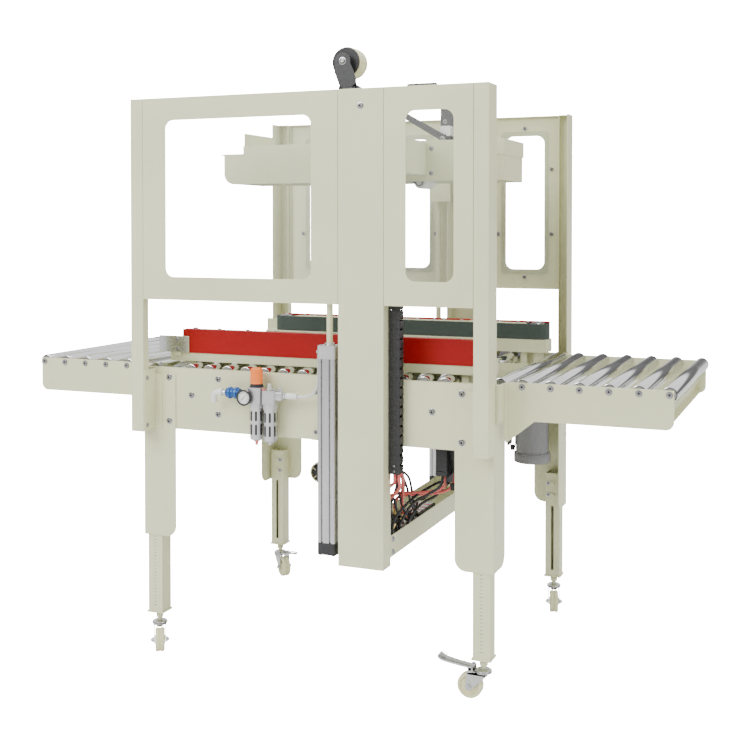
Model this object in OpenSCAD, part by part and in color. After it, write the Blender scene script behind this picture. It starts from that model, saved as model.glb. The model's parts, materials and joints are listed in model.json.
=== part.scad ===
// Side-belt carton sealer: guard frame, lifting top tape head, roller bed, side belts, legs on casters.
// X runs along the conveyor, from infeed (-X) to outfeed (+X). Y runs across it. Z is up.
// The origin is on the floor, midway between the guard's corner posts.

/* [Guard] */
// Length of the guard over its corner posts
guard_l = 1000; // [900:10:1300]
// Width of the guard over its side faces
guard_w = 890; // [850:10:1000]
// Height of the guard's top edge above the floor
guard_h = 1500; // [1460:10:1700]
// Height of the side panels' lower edge
panel_low = 965; // [920:5:1000]
// Thickness of the guard's sheet metal
sheet = 2.5; // [1.5:0.5:3]
// Width of a corner post's front face
post_w = 38; // [30:1:50]
// Depth of a corner post's outer side
post_d = 68; // [50:1:80]
// Depth of a corner post's inner lip
post_lip = 26; // [15:1:32]
// Height of the corner posts' lower ends
post_low = 608; // [580:1:612]
// Depth of the fold round a side panel
panel_fold = 15; // [8:1:16]
// Height of a window
window_h = 414; // [300:1:440]
// Width of the wide infeed window
wide_window_l = 426; // [250:1:440]
// Width of the narrow outfeed window
narrow_window_l = 122; // [80:1:130]
// Corner radius of a window
window_r = 24; // [10:1:40]
// Thickness of the clear panes
pane_t = 3; // [2:0.5:5]

/* [Columns] */
// Width of a column
column_w = 122; // [100:1:130]
// Place of a column's infeed side along X
column_x = 110; // [100:1:130]
// Depth of a column
column_d = 50; // [40:1:54]
// Height of the columns' lower ends
column_low = 311; // [280:1:340]
// Thickness of the columns and the bed
plate = 3; // [2:0.5:4]

/* [Bed] */
// Length of the bed
bed_l = 1016; // [1006:2:1200]
// Height of the bed's top edge
bed_top = 776; // [770:1:790]
// Depth of the bed's side plates
bed_h = 165; // [140:1:180]
// Height of the conveying surface, which is the tops of the rollers
roller_top = 786; // [782:1:788]
// Diameter of a conveyor roller
roller_d = 38; // [30:1:44]
// Pitch of the bed's short rollers
bed_pitch = 56; // [50:1:70]
// Number of short rollers on each side of the tape slot
bed_rollers_n = 14; // [8:1:14]
// Width of the slot for the bottom tape head
slot_w = 132; // [126:2:150]

/* [Roller tables] */
// Width of a roller table over its side plates
table_w = 655; // [600:1:680]
// Length of the infeed table
infeed_l = 381; // [360:1:420]
// Length of the outfeed table
outfeed_l = 405; // [400:1:500]
// Depth of a table's side plates
table_h = 94; // [80:1:120]
// Pitch of the table rollers
table_pitch = 70.5; // [60:0.5:71]
// Number of rollers on each table
table_rollers_n = 5; // [3:1:5]

/* [Top head] */
// Width of the top head
head_w = 190; // [180:2:220]
// Height of the top head's underside when raised
head_low = 1283; // [1270:1:1300]
// Height of the top head's sides
head_h = 111; // [100:1:120]
// Stroke of the top head
head_stroke = 370; // [200:10:370]

/* [Side belts] */
// Clear width between the two side belts when open
belt_gap = 500; // [480:2:500]
// Height of a side belt
belt_h = 46; // [40:1:60]
// Thickness of a side belt
belt_t = 4; // [3:0.5:5]
// Diameter of a belt pulley
pulley_d = 56; // [50:1:60]

/* [Legs] */
// Side of a square leg tube
tube_w = 44; // [38:1:46]
// Height of the leg tubes' upper ends
tube_top = 415; // [400:1:420]
// Diameter of a caster wheel
wheel_d = 64; // [60:1:70]
// Distance from a caster's stem to its wheel axle
trail = 34; // [28:1:36]

/* [Hidden] */

$fn = 48;
eps = 0.01;
run_fit = 0.05;       // radial clearance of a running fit
gap = 0.3;            // clearance between curved faces of different bodies
seam = 0.8;           // open seam between neighbouring guard pieces

paint = [0.84, 0.83, 0.76];
zinc = [0.75, 0.76, 0.78];
dark = [0.22, 0.22, 0.23];
cream = [0.86, 0.85, 0.72];

face_y = guard_w / 2;                       // outer face of the guard
half_l = guard_l / 2;
bed_y = face_y - column_d - 9;              // outer face of a bed side plate
bed_in = bed_y - plate;                     // inner face of a bed side plate
bed_low = bed_top - bed_h;
bed_half = bed_l / 2;
roller_r = roller_d / 2;
roller_z = roller_top - roller_r;
axle_d = 10;
rail_y = slot_w / 2;                        // slot face of an inner roller rail
first_roller_x = -364;
infeed_end_roller = -476;
outfeed_end_roller = 492;
bed_fold = 17;                              // room for the bed's top fold
end_inset = bed_in - table_w / 2 + 7;       // the last roller sits between the end plates

window_low = guard_h - 60 - window_h;
panel_in_l = -half_l + post_w + seam;
wide_x0 = -391;
narrow_x0 = 290;
pane_margin = 36;

// ---- small shared shapes ----

module box(x0, x1, y0, y1, z0, z1) {
    translate([x0, y0, z0]) cube([x1 - x0, y1 - y0, z1 - z0]);
}

// rounded rectangle drawn from one corner
module round_rect(w, h, r) {
    translate([r, 0]) square([w - 2 * r, h]);
    translate([0, r]) square([w, h - 2 * r]);
    for (x = [r, w - r], y = [r, h - r]) translate([x, y]) circle(r = r);
}

// an outline drawn in X and Z, standing up with its thickness from y0 to y1
module upright(y0, y1) {
    translate([0, y1, 0]) rotate([90, 0, 0]) linear_extrude(y1 - y0) children();
}

module rod_y(x, z, d, y0, y1) {
    translate([x, y0, z]) rotate([-90, 0, 0]) cylinder(d = d, h = y1 - y0);
}

module rod_x(z, y, d, x0, x1) {
    translate([x0, y, z]) rotate([0, 90, 0]) cylinder(d = d, h = x1 - x0);
}

module rod_z(x, y, d, z0, z1) {
    translate([x, y, z0]) cylinder(d = d, h = z1 - z0);
}

// dome-headed bolt head, its flat face on the surface, pointing along +Z
module dome(d = 12, h = 4) {
    rotate_extrude() intersection() {
        translate([0, -d]) square([d, d + h]);
        translate([0, h - d * 0.7]) circle(r = d * 0.7);
        square([d / 2, h]);
    }
}

module dome_y(x, y, z, d = 12, side = -1) {
    translate([x, y, z]) rotate([side < 0 ? 90 : -90, 0, 0]) dome(d, d / 3);
}

module dome_x(x, y, z, d = 12, side = 1) {
    translate([x, y, z]) rotate([0, side * 90, 0]) dome(d, d / 3);
}

// both sides of the machine, the children drawn on the near side
module both_sides() {
    children();
    mirror([0, 1, 0]) children();
}

module four_corners() {
    both_sides() {
        children();
        mirror([1, 0, 0]) children();
    }
}

// ---- guard ----

module post() {
    difference() {
        box(half_l - post_w, half_l, -face_y, -face_y + post_d, post_low, guard_h);
        box(half_l - post_w + sheet, half_l - sheet, -face_y + sheet, -face_y + post_d + 1,
            post_low - 1, guard_h - sheet);
        box(half_l - post_w - 1, half_l - sheet, -face_y + post_lip, -face_y + post_d + 1,
            post_low - 1, guard_h + 1);
        // cut back where it passes the bed
        box(half_l - sheet - 1, half_l + 1, -bed_y - plate - seam, -face_y + post_d + 1,
            post_low - 1, bed_top + 2);
    }
}

module guard_posts() {
    color(paint) four_corners() post();
}

module panel(x0, x1, win_x0, win_l) {
    difference() {
        box(x0, x1, -face_y, -face_y + panel_fold, panel_low, guard_h);
        box(x0 + sheet, x1 - sheet, -face_y + sheet, -face_y + panel_fold + 1,
            panel_low + sheet, guard_h - sheet);
        translate([win_x0, 0, window_low]) upright(-face_y - 1, -face_y + sheet + 1)
            round_rect(win_l, window_h, window_r);
    }
}

module infeed_panel() {
    panel(panel_in_l, column_x - seam, wide_x0, wide_window_l);
}

module outfeed_panel() {
    panel(column_x + column_w + seam, half_l - post_w - seam, narrow_x0, narrow_window_l);
}

module guard_panel_near_infeed() {
    color(paint) infeed_panel();
}

module guard_panel_near_outfeed() {
    color(paint) outfeed_panel();
}

module guard_panels_far() {
    color(paint) mirror([0, 1, 0]) {
        infeed_panel();
        outfeed_panel();
    }
}

module pane(win_x0, win_l) {
    box(win_x0 - pane_margin, win_x0 + win_l + pane_margin, -face_y + sheet, -face_y + sheet + pane_t,
        window_low - pane_margin, window_low + window_h + pane_margin);
}

module window_panes() {
    color([0.9, 0.95, 0.97, 0.3]) both_sides() {
        pane(wide_x0, wide_window_l);
        pane(narrow_x0, narrow_window_l);
    }
}

// ---- columns and base ----

module column() {
    difference() {
        box(column_x, column_x + column_w, -face_y, -face_y + column_d, column_low, guard_h);
        box(column_x + plate, column_x + column_w - plate, -face_y + plate, -face_y + column_d + 1,
            column_low - 1, guard_h - plate);
    }
    // mounting pads that carry the bed
    for (x = [column_x + 15, column_x + column_w - 41])
        box(x, x + 26, -face_y + plate, -bed_y, bed_low + 12, bed_top - 12);
}

module column_near() {
    color(paint) column();
}

module column_far() {
    color(paint) mirror([0, 1, 0]) column();
}

tray_low = 331;
tray_h = 55;
tray_x1 = column_x + column_w;
tray_y = face_y - column_d;

module base_tray() {
    color(paint) {
        difference() {
            box(column_x, tray_x1, -tray_y, tray_y, tray_low, tray_low + tray_h);
            box(column_x + plate, tray_x1 - plate, -tray_y - 1, tray_y + 1,
                tray_low + plate, tray_low + tray_h + 1);
        }
        // tongues that reach into the columns
        both_sides() for (x = [column_x + plate, tray_x1 - 2 * plate])
            box(x, x + plate, -face_y + plate, -tray_y + 60, tray_low + plate, tray_low + tray_h - 4);
    }
}

// ---- bed ----

module bed_side() {
    difference() {
        box(-bed_half, bed_half, -bed_y, -bed_y + 18, bed_low, bed_top);
        box(-bed_half - 1, bed_half + 1, -bed_in, -bed_y + 19, bed_low + plate, bed_top - plate);
        // notches for the leg brackets
        for (x = [-bed_half - 1, angle_x1 - plate - 0.3])
            box(x, x + bed_half + 1.3 - angle_x1 + plate, -bed_y - 1, -bed_y + 19, bed_low - 1, bed_top - 91.7);
    }
    // closed ends, reaching in to the table's side plates
    for (s = [-1, 1]) box(s > 0 ? bed_half - plate : -bed_half, s > 0 ? bed_half : -bed_half + plate,
        -bed_y, -table_w / 2 - 2, bed_top - 92, bed_top);
}

module bed_sides() {
    color(paint) both_sides() bed_side();
}

cross_x = [-300, 300];
cross_w = 40;
cross_h = 37;

module bed_frame() {
    color(paint) {
        // cross channels
        for (x = cross_x) difference() {
            box(x, x + cross_w, -bed_in, bed_in, bed_low + plate, bed_low + cross_h);
            box(x + plate, x + cross_w - plate, -bed_in - 1, bed_in + 1, bed_low - 1,
                bed_low + cross_h - plate);
        }
        // inner rails that carry the short rollers beside the tape slot
        both_sides() {
            difference() {
                box(-450, 462, -rail_y - plate, -rail_y, 690, bed_top);
                for (x = rod_xs) rod_y(x, rod_zc, rod_d + 2 * gap, -rail_y - plate - 1, -rail_y + 1);
            }
            for (x = cross_x) box(x, x + cross_w, -rail_y - plate, -rail_y, bed_low + cross_h - eps, 692);
        }
    }
}

function bed_roller_x(i) = first_roller_x + bed_pitch * i;

// one roller on its axle, set in from the axle's two ends
module roller(x, y0, y1, in0 = 3, in1 = 3) {
    rod_y(x, roller_z, roller_d, y0 + in0, y1 - in1);
    rod_y(x, roller_z, axle_d, y0, y1);
}

module bed_rollers() {
    color(zinc) {
        for (i = [0 : bed_rollers_n - 1]) {
            roller(bed_roller_x(i), -bed_in, -rail_y - plate, bed_fold, 3);
            roller(bed_roller_x(i), rail_y + plate, bed_in, 3, bed_fold);
        }
        roller(infeed_end_roller, -bed_in, bed_in, bed_fold, bed_fold);
        roller(outfeed_end_roller, -bed_in, bed_in, end_inset, end_inset);
    }
}

// ---- legs ----

leg_x = 465;                            // centre of a leg tube
leg_y = bed_y - 22;
angle_x0 = 397;                         // inner edge of a leg bracket's front flange
angle_x1 = 497;                         // outer face of a leg bracket's side flange
angle_low = 316;
angle_depth = 96;
corner_r = 30;

module leg_bracket() {
    difference() {
        union() {
            upright(-bed_y - plate, -bed_y) {
                translate([angle_x0, angle_low + corner_r])
                    square([angle_x1 - angle_x0, 760 - angle_low - corner_r]);
                translate([angle_x0 + corner_r, angle_low]) square([angle_x1 - angle_x0 - corner_r, corner_r + 1]);
                translate([angle_x0 + corner_r, angle_low + corner_r]) circle(r = corner_r);
            }
            translate([angle_x1 - plate, 0, 0]) rotate([90, 0, 90]) linear_extrude(plate) {
                translate([-bed_y - plate, angle_low])
                    square([plate + angle_depth - corner_r, bed_top - 92 - angle_low]);
                translate([-bed_y - plate, angle_low + corner_r])
                    square([plate + angle_depth, bed_top - 92 - angle_low - corner_r]);
                translate([-bed_y + angle_depth - corner_r, angle_low + corner_r]) circle(r = corner_r);
            }
            // spacer between the tube and the side flange
            box(leg_x + tube_w / 2, angle_x1 - 1, -leg_y - 16, -leg_y + 12, angle_low + 14, angle_low + 84);
        }
    }
}

module leg_brackets() {
    color(paint) four_corners() leg_bracket();
}

module guard_bracket() {
    x = half_l - post_w;
    box(x - sheet, x, -face_y + sheet, -bed_y - plate - eps, bed_low, bed_top - 2);
    box(x - 24, x, -bed_y - plate - sheet, -bed_y - plate, bed_low, bed_top - 17);
}

module guard_brackets() {
    color(paint) four_corners() guard_bracket();
}

module frame_bolts() {
    color(zinc) both_sides() {
        // column heads and tray
        dome_y(171, -face_y, 1457, 13);
        for (z = [tray_low + 12, tray_low + 44]) dome_x(tray_x1, -tray_y + 14, z, 11);
        for (s = [-1, 1]) {
            // leg brackets and guard brackets
            for (z = [632, 751]) dome_y(s * 416, -bed_y - plate, z, 13);
            for (z = [625, 752]) dome_x(s * (half_l - post_w - sheet), -face_y + 14, z, 10, -s);
        }
        // bed plates
        for (p = [[-266, 752], [-348, 705], [-266, 658], [338, 702]]) dome_y(p[0], -bed_y, p[1], 12);
        // panes
        for (w = [[wide_x0, wide_window_l], [narrow_x0, narrow_window_l]]) {
            for (z = [window_low - 24, window_low + window_h + 24])
                dome_y(w[0] + w[1] / 2, -face_y + sheet + pane_t, z, 9, 1);
            for (x = [w[0] - 24, w[0] + w[1] + 24], z = [window_low + 110, window_low + 310])
                dome_y(x, -face_y + sheet + pane_t, z, 9, 1);
        }
    }
}

// ---- roller tables ----

table_y = table_w / 2;
table_low = bed_top + 2 - table_h;
table_r = 20;
end_offset = 11;                         // last roller in from the plate's end

// drawn for the outfeed end, from x0 outwards
module table_frame(x0, length) {
    x1 = x0 + length;
    both_sides() {
        upright(-table_y, -table_y + plate) {
            translate([x0, table_low]) square([length - table_r, table_h]);
            translate([x0, table_low + table_r]) square([length, table_h - table_r]);
            translate([x1 - table_r, table_low + table_r]) circle(r = table_r);
            // brace under the table
            polygon([[x0, table_low + 1], [x0 + 74, table_low + 1], [x0, table_low - 58]]);
        }
        // hooked tab that fastens the table to the bed's end
        box(x0, x0 + plate, -table_y - 14, -table_y + eps, table_low - 50, bed_top);
    }
    // cross members
    for (x = [x0 + 20, x1 - 32]) difference() {
        box(x, x + 20, -table_y + plate, table_y - plate, table_low + 6, table_low + 46);
        box(x + plate, x + 21, -table_y, table_y, table_low + 6 + plate, table_low + 46 - plate);
    }
}

outfeed_x0 = bed_half;
infeed_x0 = bed_half;

module table_outfeed() {
    color(paint) table_frame(outfeed_x0, outfeed_l);
}

module table_infeed() {
    color(paint) mirror([1, 0, 0]) table_frame(infeed_x0, infeed_l);
}

module table_roller(x) {
    roller(x, -table_y + plate, table_y - plate);
    both_sides() dome_y(x, -table_y, roller_z, 10);
}

module table_rollers() {
    color(zinc) for (i = [0 : table_rollers_n]) {
        table_roller(outfeed_x0 + outfeed_l - end_offset - table_pitch * i);
        if (i < table_rollers_n) table_roller(-infeed_x0 - infeed_l + end_offset + table_pitch * i);
    }
}

// ---- side belts ----

drive_x = 436;
idle_x = -398;
belt_z = 826;
belt_in = belt_gap / 2;
pulley_r = pulley_d / 2;
belt_y = belt_in + belt_t + pulley_r;       // pulley axis
belt_out = belt_y + pulley_r + belt_t;
rod_d = 20;
rod_zc = 722;
rod_xs = [-396, 396];
carrier_x0 = -458;
carrier_x1 = 468;
carrier_low = roller_top + 2;
shaft_d = 20;
pin_d = 12;
slider_h = belt_h - 1;

module carrier() {
    difference() {
        union() {
            difference() {
                box(carrier_x0, carrier_x1, -belt_out - 2, -belt_in, carrier_low, belt_z - gap);
                box(carrier_x0 + plate, carrier_x1 - plate, -belt_out - 2 + plate, -belt_in - plate,
                    carrier_low - 1, belt_z - plate);
            }
            // slider bed that backs both runs of the belt
            difference() {
                box(idle_x + pulley_r + 8, drive_x - pulley_r - 8, -belt_out + belt_t, -belt_in - belt_t,
                    belt_z - plate, belt_z + slider_h);
                box(idle_x, drive_x, -belt_out + belt_t + plate, -belt_in - belt_t - plate,
                    belt_z + plate, belt_z + slider_h - plate);
            }
            // sleeve round the drive shaft
            rod_z(drive_x, -belt_y, shaft_d + 14, 740, belt_z - eps);
            // posts down to the slide blocks
            for (x = rod_xs) {
                box(x - 9, x + 9, -belt_y - 20, -belt_y + 20, 740, belt_z - eps);
                box(x - 15, x + 15, -belt_y - 30, -belt_y + 30, rod_zc - 19, rod_zc + 19);
            }
            // idler pin
            rod_z(idle_x, -belt_y, pin_d, belt_z - plate, belt_z + belt_h - 3);
        }
        rod_z(drive_x, -belt_y, shaft_d + 2 * run_fit, 700, belt_z + 1);
        for (x = rod_xs) rod_y(x, rod_zc, rod_d + 2 * run_fit, -belt_y - 40, -belt_y + 40);
    }
    // guide plate at the infeed end
    box(-490, -395, -belt_out - 10, -belt_out - 7, belt_z - 14, belt_z + 31);
    box(-440, -421, -belt_out - 8, -belt_out - 1, belt_z - 24, belt_z - 4);
}

module belt_carrier_near() {
    color(paint) carrier();
}

module belt_carrier_far() {
    color(paint) mirror([0, 1, 0]) carrier();
}

// cover over the outer run of the belt
module cover() {
    y = belt_out + 2;
    difference() {
        box(-417, 462, -y - 3, -y + 24, belt_z - 15, belt_z + belt_h + 4);
        box(-418, 463, -y, -y + 25, belt_z - 16, belt_z + belt_h + 1);
    }
}

module belt_cover_near() {
    color([0.70, 0.11, 0.08]) cover();
}

module belt_cover_far() {
    color([0.70, 0.11, 0.08]) mirror([0, 1, 0]) cover();
}

module belt_outline(r) {
    translate([idle_x, 0]) circle(r = r, $fn = 64);
    translate([drive_x, 0]) circle(r = r, $fn = 64);
    translate([idle_x, -r]) square([drive_x - idle_x, 2 * r]);
}

module belt() {
    translate([0, -belt_y, belt_z]) linear_extrude(belt_h) difference() {
        belt_outline(pulley_r + belt_t);
        belt_outline(pulley_r);
    }
}

module side_belt_near() {
    color([0.22, 0.26, 0.23]) belt();
}

module side_belt_far() {
    color([0.22, 0.26, 0.23]) mirror([0, 1, 0]) belt();
}

gearbox_low = 600;
gearbox_top = 695;
motor_low = 458;
motor_x = drive_x - 18;

module drive_pulley() {
    rod_z(drive_x, -belt_y, pulley_d - 2 * gap, belt_z + 1, belt_z + belt_h - 1);
    rod_z(drive_x, -belt_y, shaft_d, gearbox_top - 30, belt_z + 2);
}

module drive_pulley_near() {
    color(zinc) drive_pulley();
}

module drive_pulley_far() {
    color(zinc) mirror([0, 1, 0]) drive_pulley();
}

module idle_pulley() {
    difference() {
        rod_z(idle_x, -belt_y, pulley_d - 2 * gap, belt_z + 1, belt_z + belt_h - 1);
        rod_z(idle_x, -belt_y, pin_d + 2 * run_fit, belt_z, belt_z + belt_h);
    }
}

module idle_pulley_near() {
    color(zinc) idle_pulley();
}

module idle_pulley_far() {
    color(zinc) mirror([0, 1, 0]) idle_pulley();
}

module gear_motor() {
    difference() {
        union() {
            box(motor_x - 48, motor_x + 48, -belt_y - 46, -belt_y + 46, gearbox_low, gearbox_top);
            rod_z(drive_x, -belt_y, shaft_d + 14, gearbox_top - 1, 740);
            rod_z(motor_x, -belt_y, 98, 487, gearbox_low + 1);
            rod_z(motor_x, -belt_y, 109, motor_low, 488);
        }
        rod_z(drive_x, -belt_y, shaft_d + 2 * run_fit, gearbox_top - 32, 741);
    }
}

module gear_motor_near() {
    color([0.55, 0.55, 0.57]) gear_motor();
}

module gear_motor_far() {
    color([0.55, 0.55, 0.57]) mirror([0, 1, 0]) gear_motor();
}

module slide_rods() {
    color(zinc) for (x = rod_xs) rod_y(x, rod_zc, rod_d, -bed_in, bed_in);
}

// ---- lift ----

cyl_x = 75;
cyl_y = face_y - 28;
cyl_w = 50;
cyl_bore = 38;
cyl_low = 333;
cyl_top = 860;
lift_rod_d = 16;
yoke_low = cyl_top + head_stroke + 8;

module lift_cylinder() {
    difference() {
        union() {
            box(cyl_x - cyl_w / 2, cyl_x + cyl_w / 2, -cyl_y - cyl_w / 2, -cyl_y + cyl_w / 2,
                cyl_low, cyl_top);
            rod_z(cyl_x, -cyl_y, 26, cyl_top - 1, cyl_top + 6);
            // port fitting
            rod_x(842, -cyl_y, 10, 39, cyl_x - cyl_w / 2 + eps);
            // fixing plate on the bed side
            box(12, cyl_x + cyl_w / 2, -cyl_y + cyl_w / 2 - eps, -bed_y, bed_low, bed_top - 22);
        }
        rod_z(cyl_x, -cyl_y, cyl_bore, cyl_low + 14, cyl_top - 32);
        rod_z(cyl_x, -cyl_y, lift_rod_d + 2 * run_fit, cyl_top - 33, cyl_top + 7);
    }
}

module lift_cylinders() {
    color([0.78, 0.79, 0.80]) both_sides() lift_cylinder();
}

beam_low = head_low + 17;
beam_h = 90;
carriage_x0 = column_x + plate + gap;
carriage_x1 = column_x + column_w - plate - gap;

module lift_side() {
    // slide block in the column
    box(carriage_x0, carriage_x1, -face_y + plate + gap, -tray_y, beam_low - 40, beam_low + beam_h + 40);
    // beam across to the head
    difference() {
        box(column_x + 15, tray_x1 - 15, -tray_y - eps, -head_w / 2, beam_low, beam_low + beam_h);
        box(column_x + 19, tray_x1 - 19, -tray_y + 4, -head_w / 2 + 1, beam_low + 4, beam_low + beam_h - 4);
    }
    // yoke that the cylinder rod pushes
    box(cyl_x - 14, column_x + 16, -tray_y + 4, -tray_y + 16, yoke_low, beam_low + 30);
    box(cyl_x - 14, cyl_x + 14, -cyl_y - 10, -tray_y + 5, yoke_low, yoke_low + 26);
    // rod and piston
    rod_z(cyl_x, -cyl_y, lift_rod_d, cyl_top - 60, yoke_low + 1);
    rod_z(cyl_x, -cyl_y, cyl_bore - 2 * run_fit, cyl_top - 60, cyl_top - 34);
}

module lift_carriage() {
    color(paint) both_sides() lift_side();
}

head_x0 = -350;
nose_l = 64;
nose_h = 88;
nose_r = 32;

// side view of the lead-in nose: each edge moved inward by t, open below at low, up to end
module nose_outline(t, low, end) {
    x = head_x0 - nose_l;
    translate([x + nose_r, head_low + nose_r]) circle(r = nose_r - t);
    translate([x + t, head_low + nose_r]) square([end - x - t, nose_h - nose_r - t]);
    translate([x + nose_r, low]) square([end - x - nose_r, head_low + nose_h - t - low]);
}

module head_frame() {
    y = head_w / 2;
    x0 = head_x0;
    x1 = 436;
    top = head_low + head_h;
    color(paint) {
        difference() {
            box(x0, x1, -y, y, head_low, top);
            box(x0 + plate, x1 - plate, -y + plate, y - plate, head_low - 1, top - plate);
            // opening for the tape above the cartridge
            box(-60, 120, -30, 30, top - plate - 1, top + 1);
        }
        // raised end plate at the infeed end
        box(x0 + 4, x0 + 4 + plate, -y, y, top - eps, top + 36);
        // lead-in nose
        difference() {
            union() {
                upright(-y + plate, y - plate) nose_outline(0, head_low, x0 + 1);
                box(x0 - 74, x0, -y + 3, y - 3, head_low + 85, head_low + 88);
            }
            upright(-y + 2 * plate, y - 2 * plate) nose_outline(plate, head_low - 1, x0 - 1);
        }
        // lip round the outfeed end
        both_sides() box(x1 - 70, x1 + 3, -y - 3, -y + eps, top - 42, top);
        box(x1 - eps, x1 + 3, -y, y, top - 42, top);
    }
}

// ---- tape cartridges ----

plate_in = 55;
plate_out = 58;
arm_in = 46;
arm_out = 49;
tape_roller_d = 36;

// arm from its pivot at the origin to a roller at [dx, dz], drawn in X and Z
module arm(dx, dz) {
    a = atan2(dz, dx);
    len = sqrt(dx * dx + dz * dz);
    both_sides() upright(-arm_out, -arm_in) {
        rotate(a) translate([0, -10]) square([len, 20]);
        circle(r = 14);
        translate([dx, dz]) circle(r = 11);
    }
    rod_y(dx, dz, tape_roller_d, -arm_in + 3, arm_in - 3);
    rod_y(dx, dz, 10, -arm_in, arm_in);
    rod_y(0, 0, 24, -arm_in, arm_in);
    rod_y(0, 0, 12, -plate_out - 2, plate_out + 2);
}

module cartridge(z0, z1, pivot_z, bar_z, bar_y) {
    difference() {
        both_sides() box(-110, 150, -plate_out, -plate_in, z0, z1);
        for (x = [-40, 80]) rod_y(x, pivot_z, 12 + 2 * run_fit, -70, 70);
    }
    for (x = [-95, 135]) difference() {
        rod_y(x, bar_z, 16, -bar_y, bar_y);
    }
}

low_reel_x = -140;
low_reel_z = 440;
top_pivot_z = head_low + 62;
bottom_pivot_z = 720;
arm_dx = 100;
arm_dz = 62;

module top_cartridge() {
    color(dark) cartridge(head_low + 5, head_low + head_h - 15, top_pivot_z, head_low + 88,
        head_w / 2 - plate);
}

module top_apply_arm() {
    color(dark) translate([-40, 0, top_pivot_z]) arm(-arm_dx, -arm_dz);
}

module top_buff_arm() {
    color(dark) translate([80, 0, top_pivot_z]) arm(arm_dx, -arm_dz);
}

module bottom_cartridge() {
    color(dark) {
        cartridge(670, 768, bottom_pivot_z, 690, rail_y);
        // arm that carries the tape roll, on the far side
        upright(plate_out, plate_out + 3) {
            polygon([[-105, 760], [-60, 760], [-60, 690], [low_reel_x + 16, low_reel_z],
                [low_reel_x - 16, low_reel_z], [low_reel_x - 16, 600]]);
            translate([low_reel_x, low_reel_z]) circle(r = 16);
        }
        rod_y(low_reel_x, low_reel_z, 12, -26, plate_out + 3);
    }
}

module bottom_apply_arm() {
    color(dark) translate([-40, 0, bottom_pivot_z]) arm(-arm_dx, arm_dz);
}

module bottom_buff_arm() {
    color(dark) translate([80, 0, bottom_pivot_z]) arm(arm_dx, arm_dz);
}

// tape roll holder turning on a 12 mm pin, its axis along Y, its flange at y0
module mandrel(x, z, y0, d) {
    difference() {
        union() {
            rod_y(x, z, d - 6, y0, y0 + 5);
            rod_y(x, z, d, y0 + 4, y0 + 60);
        }
        rod_y(x, z, d - 24, y0 + 11, y0 + 61);
        rod_y(x, z, 12 + 2 * run_fit, y0 - 1, y0 + 61);
    }
    difference() {
        rod_y(x, z, 26, y0 - 18, y0 + 60);
        rod_y(x, z, 12 + 2 * run_fit, y0 - 19, y0 + 61);
    }
}

reel_x = -55;
reel_z = 1632;
reel_y = -45;

module top_mandrel() {
    color(cream) mandrel(reel_x, reel_z, reel_y + 22, 90);
}

module bottom_mandrel() {
    color(cream) mirror([0, 1, 0]) mandrel(low_reel_x, low_reel_z, -38, 62);
}

module reel_bracket() {
    top = head_low + head_h;
    color(dark) {
        upright(reel_y, reel_y + 3) {
            polygon([[-62, top], [-11, top], [-11, 1555], [-30, reel_z], [-79, reel_z], [-62, 1555]]);
            translate([reel_x, reel_z]) circle(r = 24);
            // brace down to the head
            polygon([[-30, 1558], [-16, 1565], [258, top + 12], [258, top], [236, top], [232, top + 8]]);
        }
        box(-62, -11, reel_y - 20, reel_y + eps, top, top + 3);
        rod_y(reel_x, reel_z, 12, reel_y - 4, reel_y + 88);
        // tape guide at the outfeed end
        upright(-2, 1) polygon([[226, top], [290, top], [290, 1470], [213, 1563], [126, 1563], [126, 1556],
            [205, 1552], [226, 1490]]);
        box(235, 265, -32, -2 + eps, top + 8, top + 44);
    }
}

// ---- air unit ----

air_y = face_y - 28;
air_x = -134;

module air_unit() {
    color([0.78, 0.78, 0.78]) {
        // filter with regulator, and lubricator
        for (p = [[air_x, 604], [air_x + 40, 602]]) {
            rod_z(p[0], -air_y, 36, p[1] + 4, 702);
            rod_z(p[0], -air_y, 26, p[1] - 8, p[1] + 6);
        }
        box(air_x - 19, air_x + 19, -air_y - 18, -air_y + 18, 700, 744);
        rod_z(air_x, -air_y, 20, 743, 775);
        box(air_x + 19 - eps, air_x + 60, -air_y - 16, -air_y + 16, 700, 736);
        rod_z(air_x + 44, -air_y, 8, 735, 752);
        rod_z(air_x, -air_y, 10, 590, 600);
        // outlet block
        box(air_x + 60 - eps, air_x + 78, -air_y - 12, -air_y + 12, 712, 734);
        rod_x(724, -air_y, 16, air_x + 77, air_x + 117);
        // inlet pipe and elbow
        rod_x(724, -air_y, 14, air_x - 130, air_x - 18);
        rod_z(air_x - 126, -air_y, 18, 712, 738);
        // gauge
        rod_y(air_x - 24, 717, 42, -air_y - 27, -air_y - 13);
        // bracket to the bed
        box(air_x - 12, air_x + 12, -air_y + 17, -bed_y, 706, 738);
    }
}

module regulator_knob() {
    color([1, 0.5, 0.16]) difference() {
        rod_z(air_x, -air_y, 33, 745, 793);
        rod_z(air_x, -air_y, 20 + 2 * run_fit, 744, 776);
    }
}

module slide_valve() {
    color([0.16, 0.35, 0.6]) translate([air_x - 88, -air_y, 724]) rotate([0, 90, 0]) difference() {
        cylinder(d = 30, h = 40);
        translate([0, 0, -1]) cylinder(d = 14 + 2 * run_fit, h = 42);
    }
}

// ---- valves, control box, cables ----

module valve_block() {
    z = tray_low + plate;
    color([0.3, 0.3, 0.32]) {
        box(150, 212, -385, -240, z, z + 22);
        for (i = [0 : 2]) {
            box(158, 206, -380 + i * 46, -344 + i * 46, z + 22 - eps, z + 72);
            rod_z(172, -362 + i * 46, 12, z + 71, z + 90);
            rod_z(194, -362 + i * 46, 12, z + 71, z + 90);
        }
        box(150, 205, -120, 20, z, z + 40);
        translate([211, -300, z + 11]) rotate([0, 90, 0]) cylinder(d = 14, h = 12);
    }
}

module control_box() {
    color(dark) box(326, 360, -330, -200, 530, bed_low);
}

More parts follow.
